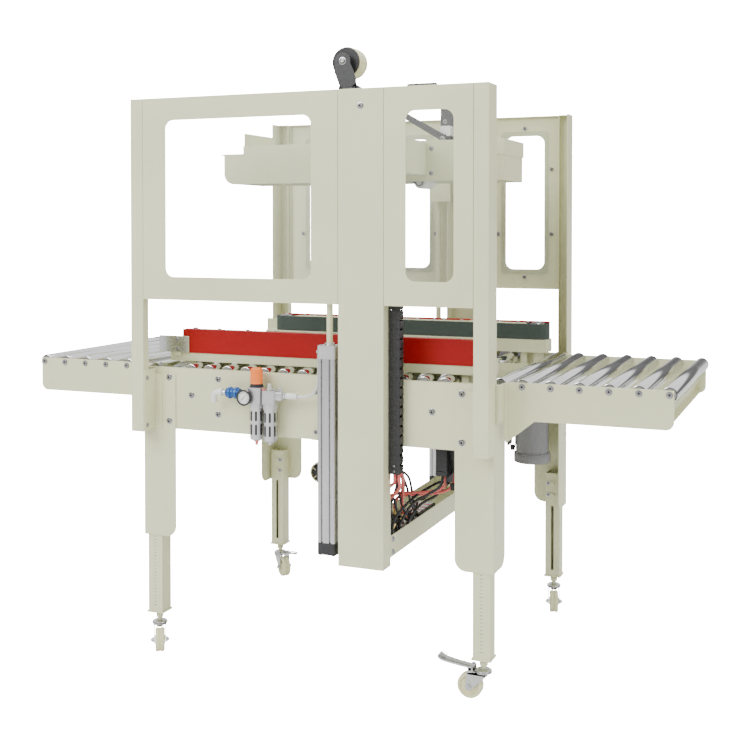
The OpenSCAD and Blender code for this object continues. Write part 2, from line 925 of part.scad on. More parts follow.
chain_x0 = tray_x1 + 0.5;
chain_low = 545;
chain_top = 1440;
link_pitch = 24;
links_n = floor((chain_top - chain_low) / link_pitch);

module cable_chain() {
    color(dark) {
        box(chain_x0, chain_x0 + 30, -bed_y - 27, -bed_y - 3, chain_low, chain_top);
        for (i = [0 : links_n - 1])
            box(chain_x0 + 29, chain_x0 + 35, -bed_y - 27, -bed_y - 3,
                chain_low + i * link_pitch + 5, chain_low + i * link_pitch + 19);
        box(chain_x0, chain_x0 + 20, -bed_y - 4, -bed_y, bed_low + 20, bed_low + 60);
    }
}

// a tube swept along its points: one polyhedron of rings, each square to its own stretch
function unit(v) = v / norm(v);
function ring_dir(p, i) = unit(p[min(i + 1, len(p) - 1)] - p[max(i - 1, 0)]);
function side_dir(t) = unit(cross(t, abs(t[2]) > 0.9 ? [1, 0, 0] : [0, 0, 1]));
function ring(p, i, r, n) = let (t = ring_dir(p, i), u = side_dir(t), v = cross(t, u))
    [for (k = [0 : n - 1]) p[i] + r * (u * cos(360 * k / n) + v * sin(360 * k / n))];

module hose(p, d, n = 8) {
    m = len(p);
    points = [for (i = [0 : m - 1]) each ring(p, i, d / 2, n)];
    sides = [for (i = [0 : m - 2], k = [0 : n - 1])
        [i * n + k, i * n + (k + 1) % n, (i + 1) * n + (k + 1) % n, (i + 1) * n + k]];
    polyhedron(points, concat([[for (k = [n - 1 : -1 : 0]) k]], sides, [[for (k = [0 : n - 1]) (m - 1) * n + k]]));
}

valve_top = tray_low + plate + 90;
chain_end = [250, -bed_y - 14, chain_low];
air_routes = [
    [[172, -362, valve_top + 0.2], [172, -362, 440], [178, -363, 462], [196, -366, 484], [220, -374, 504],
        [238, -388, 518], [244, -400, 530], [244, -400, chain_low - 0.2]],
    [[194, -362, valve_top + 0.2], [194, -362, 436], [202, -364, 456], [222, -370, 476], [244, -382, 496],
        [256, -394, 512], [256, -400, 528], [256, -400, chain_low - 0.2]],
    [[172, -316, valve_top + 0.2], [172, -316, 438], [182, -312, 458], [212, -302, 470], [250, -292, 474],
        [300, -286, 480], [332, -284, 494], [338, -284, 512], [338, -284, 529.8]],
    [[194, -270, valve_top + 0.2], [194, -270, 436], [204, -268, 454], [236, -262, 462], [284, -254, 466],
        [330, -248, 478], [346, -246, 496], [350, -246, 514], [350, -246, 529.8]]];
clear_route = [[-16.8, -air_y, 724], [-4, -air_y, 724], [14, -air_y, 727], [30, -air_y, 736], [39, -air_y, 752],
    [43, -air_y, 774], [44, -air_y, 800], [44, -air_y, 822], [44, -air_y, 836.8]];

module air_hoses() {
    color([0.94, 0.43, 0.43]) for (r = air_routes) hose(r, 8);
    color([0.9, 0.92, 0.92]) hose(clear_route, 8);
}

// ---- legs and casters ----

stem_d = 12;
foot_z = 101;

module leg_tube() {
    x = leg_x;
    difference() {
        box(x - tube_w / 2, x + tube_w / 2, -leg_y - tube_w / 2, -leg_y + tube_w / 2, foot_z + 4, tube_top);
        box(x - tube_w / 2 + sheet, x + tube_w / 2 - sheet, -leg_y - tube_w / 2 + sheet,
            -leg_y + tube_w / 2 - sheet, foot_z + 3, tube_top + 1);
        // height slot on the inner face
        box(x - 4, x + 4, -leg_y + tube_w / 2 - sheet - 1, -leg_y + tube_w / 2 + 1, 122, angle_low);
    }
    for (z = [angle_low + 34, angle_low + 69])
        translate([x, -leg_y + tube_w / 2, z]) rotate([-90, 0, 0]) cylinder(d = 13, h = 5, $fn = 6);
    box(x - 25, x + 25, -leg_y - 25, -leg_y + 25, foot_z, foot_z + 5);
    // caster stem
    rod_z(x, -leg_y, stem_d, 60, foot_z + eps);
    translate([x, -leg_y, 84]) cylinder(d = 22, h = 10, $fn = 6);
    rod_z(x, -leg_y, 20, 58, 62);
}

module leg_tubes() {
    color(paint) four_corners() leg_tube();
}

wheel_r = wheel_d / 2;
wheel_t = 25;
wheel_axle_d = 8;
fork_in = 14.5;
fork_out = 17;

// each caster is drawn with its wheel behind the stem, along -X, then turned
casters = [["near_infeed", -1, -1, 123], ["near_outfeed", 1, -1, 0], ["far_infeed", -1, 1, 138],
    ["far_outfeed", 1, 1, 104]];

module at_caster(i) {
    c = casters[i];
    translate([c[1] * leg_x, c[2] * leg_y, 0]) rotate([0, 0, c[3]]) children();
}

module fork(brake = false) {
    difference() {
        union() {
            if (brake) both_sides() upright(-fork_out, -fork_in) {
                translate([pedal_x - 7, 66]) square([14, pedal_z - 66]);
                translate([pedal_x, pedal_z]) circle(r = 7);
            }
            rod_z(0, 0, 42, 67, 72);
            rod_z(0, 0, 32, 72 - eps, 77);
            box(-22, 10, -fork_out, fork_out, 67, 70);
            both_sides() upright(-fork_out, -fork_in) {
                polygon([[8, 68], [-40, 68], [-trail - 9, wheel_r], [-trail + 8, wheel_r - 4]]);
                translate([-trail, wheel_r]) circle(r = 9);
            }
        }
        rod_z(0, 0, stem_d + 2 * run_fit, 60, 80);
        rod_z(0, 0, 20 + 2 * gap, 56, 62 + gap);
        if (brake) rod_y(pedal_x, pedal_z, 8 + 2 * run_fit, -30, 30);
    }
    rod_y(-trail, wheel_r, wheel_axle_d, -fork_out - 4, fork_out + 4);
    both_sides() translate([-trail, -fork_out, wheel_r]) rotate([90, 0, 0]) cylinder(d = 14, h = 5, $fn = 6);
}

module wheel() {
    difference() {
        translate([-trail, 0, wheel_r]) rotate([90, 0, 0]) rotate_extrude($fn = 64) difference() {
            polygon([[wheel_axle_d / 2 + run_fit, -14.2], [12, -14.2], [12, -11], [24, -9], [26, -12.5],
                [wheel_r - 4, -wheel_t / 2], [wheel_r - 0.5, -8], [wheel_r, -3], [wheel_r, 3],
                [wheel_r - 0.5, 8], [wheel_r - 4, wheel_t / 2], [26, 12.5], [24, 9], [12, 11], [12, 14.2],
                [wheel_axle_d / 2 + run_fit, 14.2]]);
        }
    }
}

// brake pedal, hinged on a pin at the top of the fork
pedal_x = -30;
pedal_z = 76;

module pedal() {
    translate([pedal_x, 0, pedal_z]) {
        upright(-13, 13) polygon([[6, 2], [6, 5], [-62, 16], [-84, 26], [-86, 23.5], [-62, 13], [-8, 3.5], [-8, 2]]);
        rod_y(0, 0, 8, -fork_out - 1, fork_out + 1);
    }
}

module caster_fork_near_infeed() {
    color(zinc) at_caster(0) fork();
}

module caster_fork_near_outfeed() {
    color(zinc) at_caster(1) fork(true);
}

module caster_fork_far_infeed() {
    color(zinc) at_caster(2) fork(true);
}

module caster_fork_far_outfeed() {
    color(zinc) at_caster(3) fork();
}

module caster_wheel_near_infeed() {
    color(cream) at_caster(0) wheel();
}

module caster_wheel_near_outfeed() {
    color(cream) at_caster(1) wheel();
}

module caster_wheel_far_infeed() {
    color(cream) at_caster(2) wheel();
}

module caster_wheel_far_outfeed() {
    color(cream) at_caster(3) wheel();
}

module brake_pedal_near_outfeed() {
    color(zinc) at_caster(1) pedal();
}

module brake_pedal_far_infeed() {
    color(zinc) at_caster(2) pedal();
}

guard_posts();
guard_panel_near_infeed();
guard_panel_near_outfeed();
guard_panels_far();
window_panes();
column_near();
column_far();
bed_sides();
bed_frame();
bed_rollers();
leg_brackets();
guard_brackets();
base_tray();
frame_bolts();
table_infeed();
table_outfeed();
table_rollers();
slide_rods();
air_unit();
regulator_knob();
slide_valve();
valve_block();
control_box();
lift_cylinders();
cable_chain();
air_hoses();
belt_carrier_near();
belt_carrier_far();
belt_cover_near();
belt_cover_far();
side_belt_near();
side_belt_far();
drive_pulley_near();
drive_pulley_far();
idle_pulley_near();
idle_pulley_far();
gear_motor_near();
gear_motor_far();
head_frame();
lift_carriage();
top_cartridge();
top_apply_arm();
top_buff_arm();
reel_bracket();
top_mandrel();
bottom_cartridge();
bottom_apply_arm();
bottom_buff_arm();
bottom_mandrel();
leg_tubes();
caster_fork_near_infeed();
caster_fork_near_outfeed();
caster_fork_far_infeed();
caster_fork_far_outfeed();
caster_wheel_near_infeed();
caster_wheel_near_outfeed();
caster_wheel_far_infeed();
caster_wheel_far_outfeed();
brake_pedal_near_outfeed();
brake_pedal_far_infeed();
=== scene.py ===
import json
import math
import bmesh
import bpy
from mathutils import Vector, Matrix
from mathutils.geometry import tessellate_polygon


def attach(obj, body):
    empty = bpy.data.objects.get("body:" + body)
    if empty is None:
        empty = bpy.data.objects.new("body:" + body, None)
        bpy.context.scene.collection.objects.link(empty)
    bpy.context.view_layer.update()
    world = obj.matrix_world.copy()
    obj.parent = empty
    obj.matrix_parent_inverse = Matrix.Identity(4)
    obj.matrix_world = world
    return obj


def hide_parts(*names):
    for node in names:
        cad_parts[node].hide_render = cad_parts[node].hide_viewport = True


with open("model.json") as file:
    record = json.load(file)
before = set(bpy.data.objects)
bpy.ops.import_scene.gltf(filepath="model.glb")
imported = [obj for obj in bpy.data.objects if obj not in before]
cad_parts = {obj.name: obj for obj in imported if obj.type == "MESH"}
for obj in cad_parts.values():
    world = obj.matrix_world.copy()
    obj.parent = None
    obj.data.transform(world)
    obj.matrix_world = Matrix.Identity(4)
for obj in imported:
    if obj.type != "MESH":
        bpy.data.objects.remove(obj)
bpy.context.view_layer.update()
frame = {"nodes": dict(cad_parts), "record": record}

mm = 0.001
xDir, yDir, zDir = (1, 0, 0), (0, 1, 0), (0, 0, 1)

# camera
cameraSet = {"lens": 55.06, "place": (1.2798, -3.0478, 1.1606), "tilt": 0.02, "turn": 0.39, "lower": -0.168}
camData = bpy.data.cameras.new("camera")
camData.lens = cameraSet["lens"]
camData.sensor_width = 36
camData.shift_y = cameraSet["lower"]
camData.clip_end = 60
camera = bpy.data.objects.new("camera", camData)
camera.location = cameraSet["place"]
camera.rotation_euler = (math.pi / 2 - cameraSet["tilt"], 0, cameraSet["turn"])
bpy.context.collection.objects.link(camera)
bpy.context.scene.camera = camera
print("camera placed")


# node helpers
def addNode(tree, kind, values=None, **settings):
    node = tree.nodes.new("ShaderNode" + kind)
    for key, value in settings.items():
        setattr(node, key, value)
    for key, value in (values or {}).items():
        node.inputs[key].default_value = value
    return node


# each link is (from node, output, to node, input)
def wire(tree, *links):
    for source, output, target, socket in links:
        tree.links.new(source.outputs[output], target.inputs[socket])


def newGroup(name, inputs, outputs):
    group = bpy.data.node_groups.new(name, "ShaderNodeTree")
    for label, kind, value in inputs:
        sock = group.interface.new_socket(label, in_out="INPUT", socket_type="NodeSocket" + kind)
        sock.default_value = value
    for label, kind in outputs:
        group.interface.new_socket(label, in_out="OUTPUT", socket_type="NodeSocket" + kind)
    return group, group.nodes.new("NodeGroupInput"), group.nodes.new("NodeGroupOutput")


# soft mottling and fine orange peel of sprayed powder
def buildCoatGroup():
    g, gin, gout = newGroup("powderCoat", [("Color", "Color", (0.8, 0.8, 0.75, 1)), ("Grain", "Float", 900.0),
        ("Depth", "Float", 0.12), ("Mottle", "Float", 0.05), ("Gloss", "Float", 0.38)],
        [("Color", "Color"), ("Roughness", "Float"), ("Normal", "Vector")])
    coord = addNode(g, "TexCoord")
    fine = addNode(g, "TexNoise", {"Detail": 2.0, "Roughness": 0.5})
    wide = addNode(g, "TexNoise", {"Scale": 3.2, "Detail": 3.0, "Roughness": 0.6})
    dust = addNode(g, "TexNoise", {"Scale": 46.0, "Detail": 5.0, "Roughness": 0.65})
    bump = addNode(g, "Bump", {"Distance": 0.0004})
    tone = addNode(g, "MapRange", {"From Min": 0.3, "From Max": 0.7})
    low = addNode(g, "Math", {0: 1.0}, operation="SUBTRACT")
    high = addNode(g, "Math", {0: 1.0}, operation="ADD")
    shade = addNode(g, "Mix", {0: 1.0}, data_type="RGBA", blend_type="MULTIPLY")
    rough = addNode(g, "MapRange", {"From Min": 0.3, "From Max": 0.7})
    roughLow = addNode(g, "Math", {1: 0.05}, operation="SUBTRACT")
    roughHigh = addNode(g, "Math", {1: 0.07}, operation="ADD")
    wire(g, (coord, "Object", fine, "Vector"), (coord, "Object", wide, "Vector"),
        (coord, "Object", dust, "Vector"), (gin, "Grain", fine, "Scale"),
        (gin, "Depth", bump, "Strength"), (fine, "Fac", bump, "Height"),
        (gin, "Mottle", low, 1), (gin, "Mottle", high, 1),
        (wide, "Fac", tone, "Value"), (low, 0, tone, "To Min"),
        (high, 0, tone, "To Max"), (gin, "Color", shade, 6),
        (tone, "Result", shade, 7), (shade, 2, gout, "Color"),
        (dust, "Fac", rough, "Value"), (gin, "Gloss", roughLow, 0),
        (gin, "Gloss", roughHigh, 0), (roughLow, 0, rough, "To Min"),
        (roughHigh, 0, rough, "To Max"), (rough, "Result", gout, "Roughness"),
        (bump, "Normal", gout, "Normal"))
    return g


# long fine scratches of turned, drawn or brushed metal, stretched along one axis
def buildBrushGroup():
    g, gin, gout = newGroup("brushedMetal", [("Color", "Color", (0.7, 0.7, 0.7, 1)),
        ("Stretch", "Vector", (900, 20, 900)),
        ("Depth", "Float", 0.1), ("Contrast", "Float", 0.12), ("Gloss", "Float", 0.22)],
        [("Color", "Color"), ("Roughness", "Float"), ("Normal", "Vector")])
    coord = addNode(g, "TexCoord")
    scaled = addNode(g, "VectorMath", operation="MULTIPLY")
    lines = addNode(g, "TexNoise", {"Scale": 1.0, "Detail": 4.0, "Roughness": 0.7})
    patches = addNode(g, "TexNoise", {"Scale": 17.0, "Detail": 4.0, "Roughness": 0.6})
    bump = addNode(g, "Bump", {"Distance": 0.0002})
    low = addNode(g, "Math", {0: 1.0}, operation="SUBTRACT")
    tone = addNode(g, "MapRange", {"From Min": 0.3, "From Max": 0.7, "To Max": 1.0})
    shade = addNode(g, "Mix", {0: 1.0}, data_type="RGBA", blend_type="MULTIPLY")
    both = addNode(g, "Math", operation="ADD")
    rough = addNode(g, "MapRange", {"From Min": 0.6, "From Max": 1.4})
    roughLow = addNode(g, "Math", {1: 0.7}, operation="MULTIPLY")
    roughHigh = addNode(g, "Math", {1: 1.5}, operation="MULTIPLY")
    wire(g, (coord, "Object", scaled, 0), (gin, "Stretch", scaled, 1),
        (scaled, 0, lines, "Vector"), (coord, "Object", patches, "Vector"),
        (lines, "Fac", bump, "Height"), (gin, "Depth", bump, "Strength"),
        (gin, "Contrast", low, 1), (low, 0, tone, "To Min"),
        (lines, "Fac", tone, "Value"), (gin, "Color", shade, 6),
        (tone, "Result", shade, 7), (lines, "Fac", both, 0),
        (patches, "Fac", both, 1), (both, 0, rough, "Value"),
        (gin, "Gloss", roughLow, 0), (gin, "Gloss", roughHigh, 0),
        (roughLow, 0, rough, "To Min"), (roughHigh, 0, rough, "To Max"),
        (shade, 2, gout, "Color"), (rough, "Result", gout, "Roughness"),
        (bump, "Normal", gout, "Normal"))
    return g


# a mask that is 1 along rubbed edges and 0 elsewhere
def buildEdgeGroup():
    g, gin, gout = newGroup("rubbedEdges", [("Width", "Float", 0.0015), ("Breakup", "Float", 90.0),
        ("Amount", "Float", 0.6)],
        [("Mask", "Float")])
    coord = addNode(g, "TexCoord")
    geo = addNode(g, "NewGeometry")
    rounded = addNode(g, "Bevel", samples=4)
    dot = addNode(g, "VectorMath", operation="DOT_PRODUCT")
    edge = addNode(g, "MapRange", {"From Min": 0.995, "From Max": 0.9})
    noise = addNode(g, "TexNoise", {"Detail": 4.0, "Roughness": 0.7})
    patch = addNode(g, "MapRange", {"From Min": 0.45, "From Max": 0.62})
    both = addNode(g, "Math", operation="MULTIPLY")
    level = addNode(g, "Math", operation="MULTIPLY")
    wire(g, (gin, "Width", rounded, "Radius"), (rounded, "Normal", dot, 0),
        (geo, "Normal", dot, 1), (dot, "Value", edge, "Value"),
        (coord, "Object", noise, "Vector"), (gin, "Breakup", noise, "Scale"),
        (noise, "Fac", patch, "Value"), (edge, "Result", both, 0),
        (patch, "Result", both, 1), (both, 0, level, 0),
        (gin, "Amount", level, 1), (level, 0, gout, "Mask"))
    return g


# crossed threads of a fabric-faced belt
def buildWeaveGroup():
    g, gin, gout = newGroup("beltWeave", [("Color", "Color", (0.05, 0.08, 0.06, 1)),
        ("Dark", "Color", (0.02, 0.03, 0.025, 1)),
        ("Pitch", "Float", 700.0)], [("Color", "Color"), ("Height", "Float"), ("Roughness", "Float")])
    coord = addNode(g, "TexCoord")
    turned = addNode(g, "Mapping")
    turned.inputs["Rotation"].default_value = (0.5, 0.785, 0.3)
    waveA = addNode(g, "TexWave", {"Distortion": 0.6, "Detail": 2.0}, bands_direction="X")
    waveB = addNode(g, "TexWave", {"Distortion": 0.6, "Detail": 2.0}, bands_direction="Z")
    both = addNode(g, "Math", operation="MULTIPLY")
    scuff = addNode(g, "TexNoise", {"Scale": 22.0, "Detail": 6.0, "Roughness": 0.7})
    mixed = addNode(g, "Math", operation="ADD")
    color = addNode(g, "Mix", data_type="RGBA")
    level = addNode(g, "MapRange", {"From Min": 0.3, "From Max": 1.3})
    rough = addNode(g, "MapRange", {"From Min": 0.3, "From Max": 0.7, "To Min": 0.55, "To Max": 0.8})
    wire(g, (coord, "Object", turned, "Vector"), (turned, "Vector", waveA, "Vector"),
        (turned, "Vector", waveB, "Vector"), (gin, "Pitch", waveA, "Scale"),
        (gin, "Pitch", waveB, "Scale"), (waveA, "Fac", both, 0),
        (waveB, "Fac", both, 1), (coord, "Object", scuff, "Vector"),
        (both, 0, mixed, 0), (scuff, "Fac", mixed, 1),
        (mixed, 0, level, "Value"), (level, "Result", color, 0),
        (gin, "Dark", color, 6), (gin, "Color", color, 7),
        (color, 2, gout, "Color"), (both, 0, gout, "Height"),
        (scuff, "Fac", rough, "Value"), (rough, "Result", gout, "Roughness"))
    return g


coatGroup, brushGroup = buildCoatGroup(), buildBrushGroup()
edgeGroup, weaveGroup = buildEdgeGroup(), buildWeaveGroup()


def startMaterial(name, metallic=0.0, **sockets):
    material = bpy.data.materials.new(name)
    material.use_nodes = True
    tree = material.node_tree
    shader = tree.nodes["Principled BSDF"]
    shader.inputs["Metallic"].default_value = metallic
    for key, value in sockets.items():
        shader.inputs[key.replace("_", " ")].default_value = value
    return material, tree, shader


def useGroup(tree, group, values):
    node = addNode(tree, "Group", node_tree=group)
    for key, value in values.items():
        node.inputs[key].default_value = value
    return node


# paint or plastic: coat group, then rubbed edges in a second colour
def paintMaterial(name, color, edgeColor, grain=900.0, depth=0.12, mottle=0.05, gloss=0.38, wear=0.5, metallic=0.0,
        **sockets):
    material, tree, shader = startMaterial(name, metallic, **sockets)
    coat = useGroup(tree, coatGroup, {"Color": (*color, 1), "Grain": grain, "Depth": depth, "Mottle": mottle,
        "Gloss": gloss})
    edges = useGroup(tree, edgeGroup, {"Width": 0.0012, "Breakup": 90.0, "Amount": wear})
    mix = addNode(tree, "Mix", {7: (*edgeColor, 1)}, data_type="RGBA")
    wire(tree, (coat, "Color", mix, 6), (edges, "Mask", mix, 0),
        (mix, 2, shader, "Base Color"), (coat, "Roughness", shader, "Roughness"),
        (coat, "Normal", shader, "Normal"))
    return material


def metalMaterial(name, color, stretch, depth=0.1, contrast=0.12, gloss=0.22, metallic=1.0, **sockets):
    material, tree, shader = startMaterial(name, metallic, **sockets)
    brush = useGroup(tree, brushGroup, {"Color": (*color, 1), "Stretch": stretch, "Depth": depth,
        "Contrast": contrast, "Gloss": gloss})
    wire(tree, (brush, "Color", shader, "Base Color"), (brush, "Roughness", shader, "Roughness"),
        (brush, "Normal", shader, "Normal"))
    return material


def beltMaterial():
    material, tree, shader = startMaterial("greenBelt")
    weave = useGroup(tree, weaveGroup, {"Color": (0.052, 0.075, 0.06, 1), "Dark": (0.03, 0.045, 0.036, 1),
        "Pitch": 420.0})
    bump = addNode(tree, "Bump", {"Strength": 0.35, "Distance": 0.0006})
    wire(tree, (weave, "Color", shader, "Base Color"), (weave, "Roughness", shader, "Roughness"),
        (weave, "Height", bump, "Height"), (bump, "Normal", shader, "Normal"))
    return material


# clear plastic: mostly see-through, glossy where seen at a slant, faint streaks in the gloss
def clearMaterial(name, tint, haze, gloss, rough):
    material, tree, shader = startMaterial(name)
    coord = addNode(tree, "TexCoord")
    noise = addNode(tree, "TexNoise", {"Scale": 14.0, "Detail": 5.0, "Roughness": 0.6})
    level = addNode(tree, "MapRange", {"To Min": rough * 0.6, "To Max": rough * 1.6})
    color = addNode(tree, "Mix", {6: (*tint, 1), 7: (*[min(1, c * 1.04) for c in tint], 1)},
        data_type="RGBA")
    clear = addNode(tree, "BsdfTransparent")
    rim = addNode(tree, "LayerWeight", {"Blend": gloss})
    body = addNode(tree, "MapRange", {"To Min": haze, "To Max": 0.9})
    mix = addNode(tree, "MixShader")
    wire(tree, (coord, "Object", noise, "Vector"), (noise, "Fac", level, "Value"),
        (noise, "Fac", color, 0), (color, 2, shader, "Base Color"),
        (level, "Result", shader, "Roughness"), (color, 2, clear, "Color"),
        (rim, "Fresnel", body, "Value"), (body, "Result", mix, 0),
        (clear, 0, mix, 1), (shader, 0, mix, 2),
        (mix, 0, tree.nodes["Material Output"], "Surface"))
    return material


# colours in one place, as a painter would change them
tones = {"cream": (0.68, 0.69, 0.44), "creamEdge": (0.78, 0.78, 0.64), "red": (0.34, 0.001, 0.001),
    "charcoal": (0.032, 0.032, 0.035), "motor": (0.19, 0.19, 0.20), "black": (0.018, 0.018, 0.02),
    "nylon": (0.74, 0.72, 0.44), "orange": (0.95, 0.21, 0.02), "blue": (0.005, 0.07, 0.26),
    "coral": (0.80, 0.15, 0.13)}

creamPaint = paintMaterial("creamPowderCoat", tones["cream"], tones["creamEdge"], depth=0.10, gloss=0.36, wear=0.35)
redPaint = paintMaterial("redPaint", tones["red"], (0.4, 0.03, 0.02), depth=0.10, mottle=0.08, gloss=0.45, wear=0.3,
    Specular_IOR_Level=0.25)
darkPaint = paintMaterial("charcoalPaint", tones["charcoal"], (0.2, 0.2, 0.2), depth=0.15, gloss=0.42, wear=0.5)
motorPaint = paintMaterial("motorPaint", tones["motor"], (0.5, 0.5, 0.5), grain=500, depth=0.2, gloss=0.35, wear=0.5)
blackPlastic = paintMaterial("blackPlastic", tones["black"], (0.06, 0.06, 0.06), grain=1500, depth=0.25, gloss=0.5,
    wear=0.5)
nylon = paintMaterial("creamNylon", tones["nylon"], (0.6, 0.56, 0.38), grain=300, depth=0.12, mottle=0.07, gloss=0.42,
    wear=0.3)
orangePlastic = paintMaterial("orangePlastic", tones["orange"], (0.95, 0.35, 0.1), grain=1200, depth=0.15, gloss=0.35,
    wear=0.3)
bluePlastic = paintMaterial("blueAnodised", tones["blue"], (0.05, 0.2, 0.45), grain=1400, depth=0.1, gloss=0.3,
    wear=0.4, metallic=0.3)
whitePlastic = paintMaterial("whitePlastic", (0.78, 0.78, 0.76), (0.85, 0.85, 0.83), grain=1100, depth=0.1,
    gloss=0.35, wear=0.2)
coralTube = paintMaterial("coralTube", tones["coral"], (0.9, 0.3, 0.25), grain=700, depth=0.05, gloss=0.2, wear=0.1,
    Subsurface_Weight=0.1)
chromeY = metalMaterial("rollerZinc", (0.74, 0.74, 0.75), (500, 6, 500), depth=0.04, contrast=0.25, gloss=0.07)
zinc = metalMaterial("zincPlate", (0.62, 0.63, 0.64), (260, 260, 260), depth=0.08, contrast=0.15, gloss=0.24)
boltSteel = metalMaterial("boltSteel", (0.36, 0.36, 0.37), (260, 260, 260), depth=0.08, contrast=0.15, gloss=0.3)
polished = metalMaterial("polishedRod", (0.75, 0.75, 0.76), (700, 700, 12), depth=0.03, contrast=0.1, gloss=0.08)
aluminium = metalMaterial("drawnAluminium", (0.56, 0.56, 0.57), (600, 600, 8), depth=0.1, contrast=0.25, gloss=0.26)
castAlloy = metalMaterial("castAlloy", (0.60, 0.60, 0.61), (420, 420, 420), depth=0.25, contrast=0.12, gloss=0.38)
brass = metalMaterial("brass", (0.72, 0.52, 0.22), (500, 500, 500), depth=0.08, contrast=0.12, gloss=0.25)
greenBelt = beltMaterial()
clearSheet = clearMaterial("clearSheet", (0.97, 0.985, 0.98), 0.02, 0.3, 0.06)
clearTube = clearMaterial("clearTube", (0.90, 0.91, 0.90), 0.5, 0.5, 0.2)
print("materials built")

materialFor = {"powder_coat": creamPaint, "clear_sheet": clearSheet, "plated_steel": zinc, "cast_alloy": castAlloy,
    "valve_alloy": castAlloy, "orange_plastic": orangePlastic, "blue_alloy": bluePlastic,
    "black_plastic": blackPlastic,
    "air_tube": coralTube, "red_paint": redPaint, "green_belt": greenBelt, "motor_paint": motorPaint,
    "dark_paint": darkPaint, "cream_plastic": nylon, "cream_nylon": nylon}
slotOf = {part["node"]: part["material_slot"] for part in frame["record"]["subparts"]}
bodyOf = {node: body for body, members in frame["record"]["behaviour"]["bodies"].items() for node in members}
for node, obj in frame["nodes"].items():
    obj.data.materials.clear()
    obj.data.materials.append(materialFor[slotOf[node]])


# mesh helpers, sizes in millimetres
class Shape:
    def __init__(self):
        self.mesh, self.materials = bmesh.new(), []

    def index(self, material):
        if material not in self.materials:
            self.materials.append(material)
        return self.materials.index(material)

    def faces(self, points, faces, material, smooth=True):
        number = self.index(material)
        verts = [self.mesh.verts.new(Vector(p) * mm) for p in points]
        for loop in faces:
            try:
                face = self.mesh.faces.new([verts[i] for i in loop])
            except ValueError:
                continue
            face.material_index = number
            face.smooth = smooth

    def box(self, x0, x1, y0, y1, z0, z1, material):
        points = [(x, y, z) for z in (z0, z1) for y in (y0, y1) for x in (x0, x1)]
        self.faces(points, [(0, 2, 3, 1), (4, 5, 7, 6), (0, 1, 5, 4), (2, 6, 7, 3), (0, 4, 6, 2), (1, 3, 7, 5)],
            material)

    # profile is a list of (distance along the axis, radius)
    def lathe(self, profile, at, axis, material, steps=40):
        w = Vector(axis).normalized()
        u = w.orthogonal().normalized()
        v = w.cross(u)
        at = Vector(at)
        points, rings = [], []
        for along, radius in profile:
            base = at + w * along
            if radius < 1e-6:
                rings.append([len(points)])
                points.append(base)
            else:
                rings.append(list(range(len(points), len(points) + steps)))
                points += [base + radius * (u * c + v * s) for c, s in around(steps)]
        loops = []
        for a, b in zip(rings, rings[1:]):
            for k in range(steps):
                n = (k + 1) % steps
                if len(a) == 1 and len(b) > 1:
                    loops.append((a[0], b[n], b[k]))
                elif len(b) == 1 and len(a) > 1:
                    loops.append((a[k], a[n], b[0]))
                elif len(a) > 1:
                    loops.append((a[k], a[n], b[n], b[k]))
        for ring, flip in ((rings[0], True), (rings[-1], False)):
            if len(ring) > 1 and rings[0] != rings[-1]:
                loops.append(tuple(reversed(ring)) if flip else tuple(ring))
        self.faces(points, loops, material)

    # a flat outline given thickness; origin plus two directions place it
    def plate(self, outline, at, across, up, thick, material):
        a, b, at = Vector(across), Vector(up), Vector(at)
        n = a.cross(b)
        count = len(outline)
        flat = [at + a * p[0] + b * p[1] for p in outline]
        tris = tessellate_polygon([[Vector((p[0], p[1], 0)) for p in outline]])
        loops = [tuple(reversed(t)) for t in tris] + [tuple(i + count for i in t) for t in tris]
        loops += [(k, (k + 1) % count, (k + 1) % count + count, k + count) for k in range(count)]
        self.faces(flat + [p + n * thick for p in flat], loops, material)

    # level plate that rises from height z
    def slab(self, outline, z, high, material):
        self.plate(outline, (0, 0, z), xDir, yDir, high, material)

    # upright plate along X in the plane y, thick towards -Y
    def sheet(self, outline, y, thick, material):
        self.plate(outline, (0, y, 0), xDir, zDir, thick, material)

    # lathe about the upright line through x, y; the profile starts from the floor
    def turned(self, profile, x, y, material, steps):
        self.lathe(profile, (x, y, 0), zDir, material, steps)

    def tube(self, path, radius, material, steps=12, closed=True):
        path = [Vector(p) for p in path]
        side, points, rings = None, [], []
        for i, p in enumerate(path):
            t = (path[min(i + 1, len(path) - 1)] - path[max(i - 1, 0)]).normalized()
            side = t.orthogonal().normalized() if side is None else (side - t * side.dot(t)).normalized()
            other = t.cross(side)
            rings.append(range(len(points), len(points) + steps))
            points += [p + radius * (side * c + other * s) for c, s in around(steps)]
        loops = [(a[k], a[(k + 1) % steps], b[(k + 1) % steps], b[k]) for a,
            b in zip(rings, rings[1:]) for k in range(steps)]
        if closed:
            loops += [tuple(reversed(rings[0])), tuple(rings[-1])]
        self.faces(points, loops, material)

    def done(self, name, body, replaces=(), bevel=0.0, angle=35):
        bmesh.ops.recalc_face_normals(self.mesh, faces=self.mesh.faces)
        data = bpy.data.meshes.new(name)
        self.mesh.to_mesh(data)
        self.mesh.free()
        for material in self.materials:
            data.materials.append(material)
        return placePiece(name, data, body, replaces, bevel, angle)


def placePiece(name, data, body, replaces, bevel, angle):
    data.shade_smooth()
    data.set_sharp_from_angle(angle=math.radians(angle))
    piece = bpy.data.objects.new(name, data)
    bpy.context.collection.objects.link(piece)
    if bevel:
        soft = piece.modifiers.new("softEdges", "BEVEL")
        soft.width = bevel * mm
        soft.segments = 2
        soft.limit_method = "ANGLE"
        soft.angle_limit = math.radians(angle)
        soft.harden_normals = True
    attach(piece, body)
    if replaces:
        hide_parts(*replaces)
    return piece


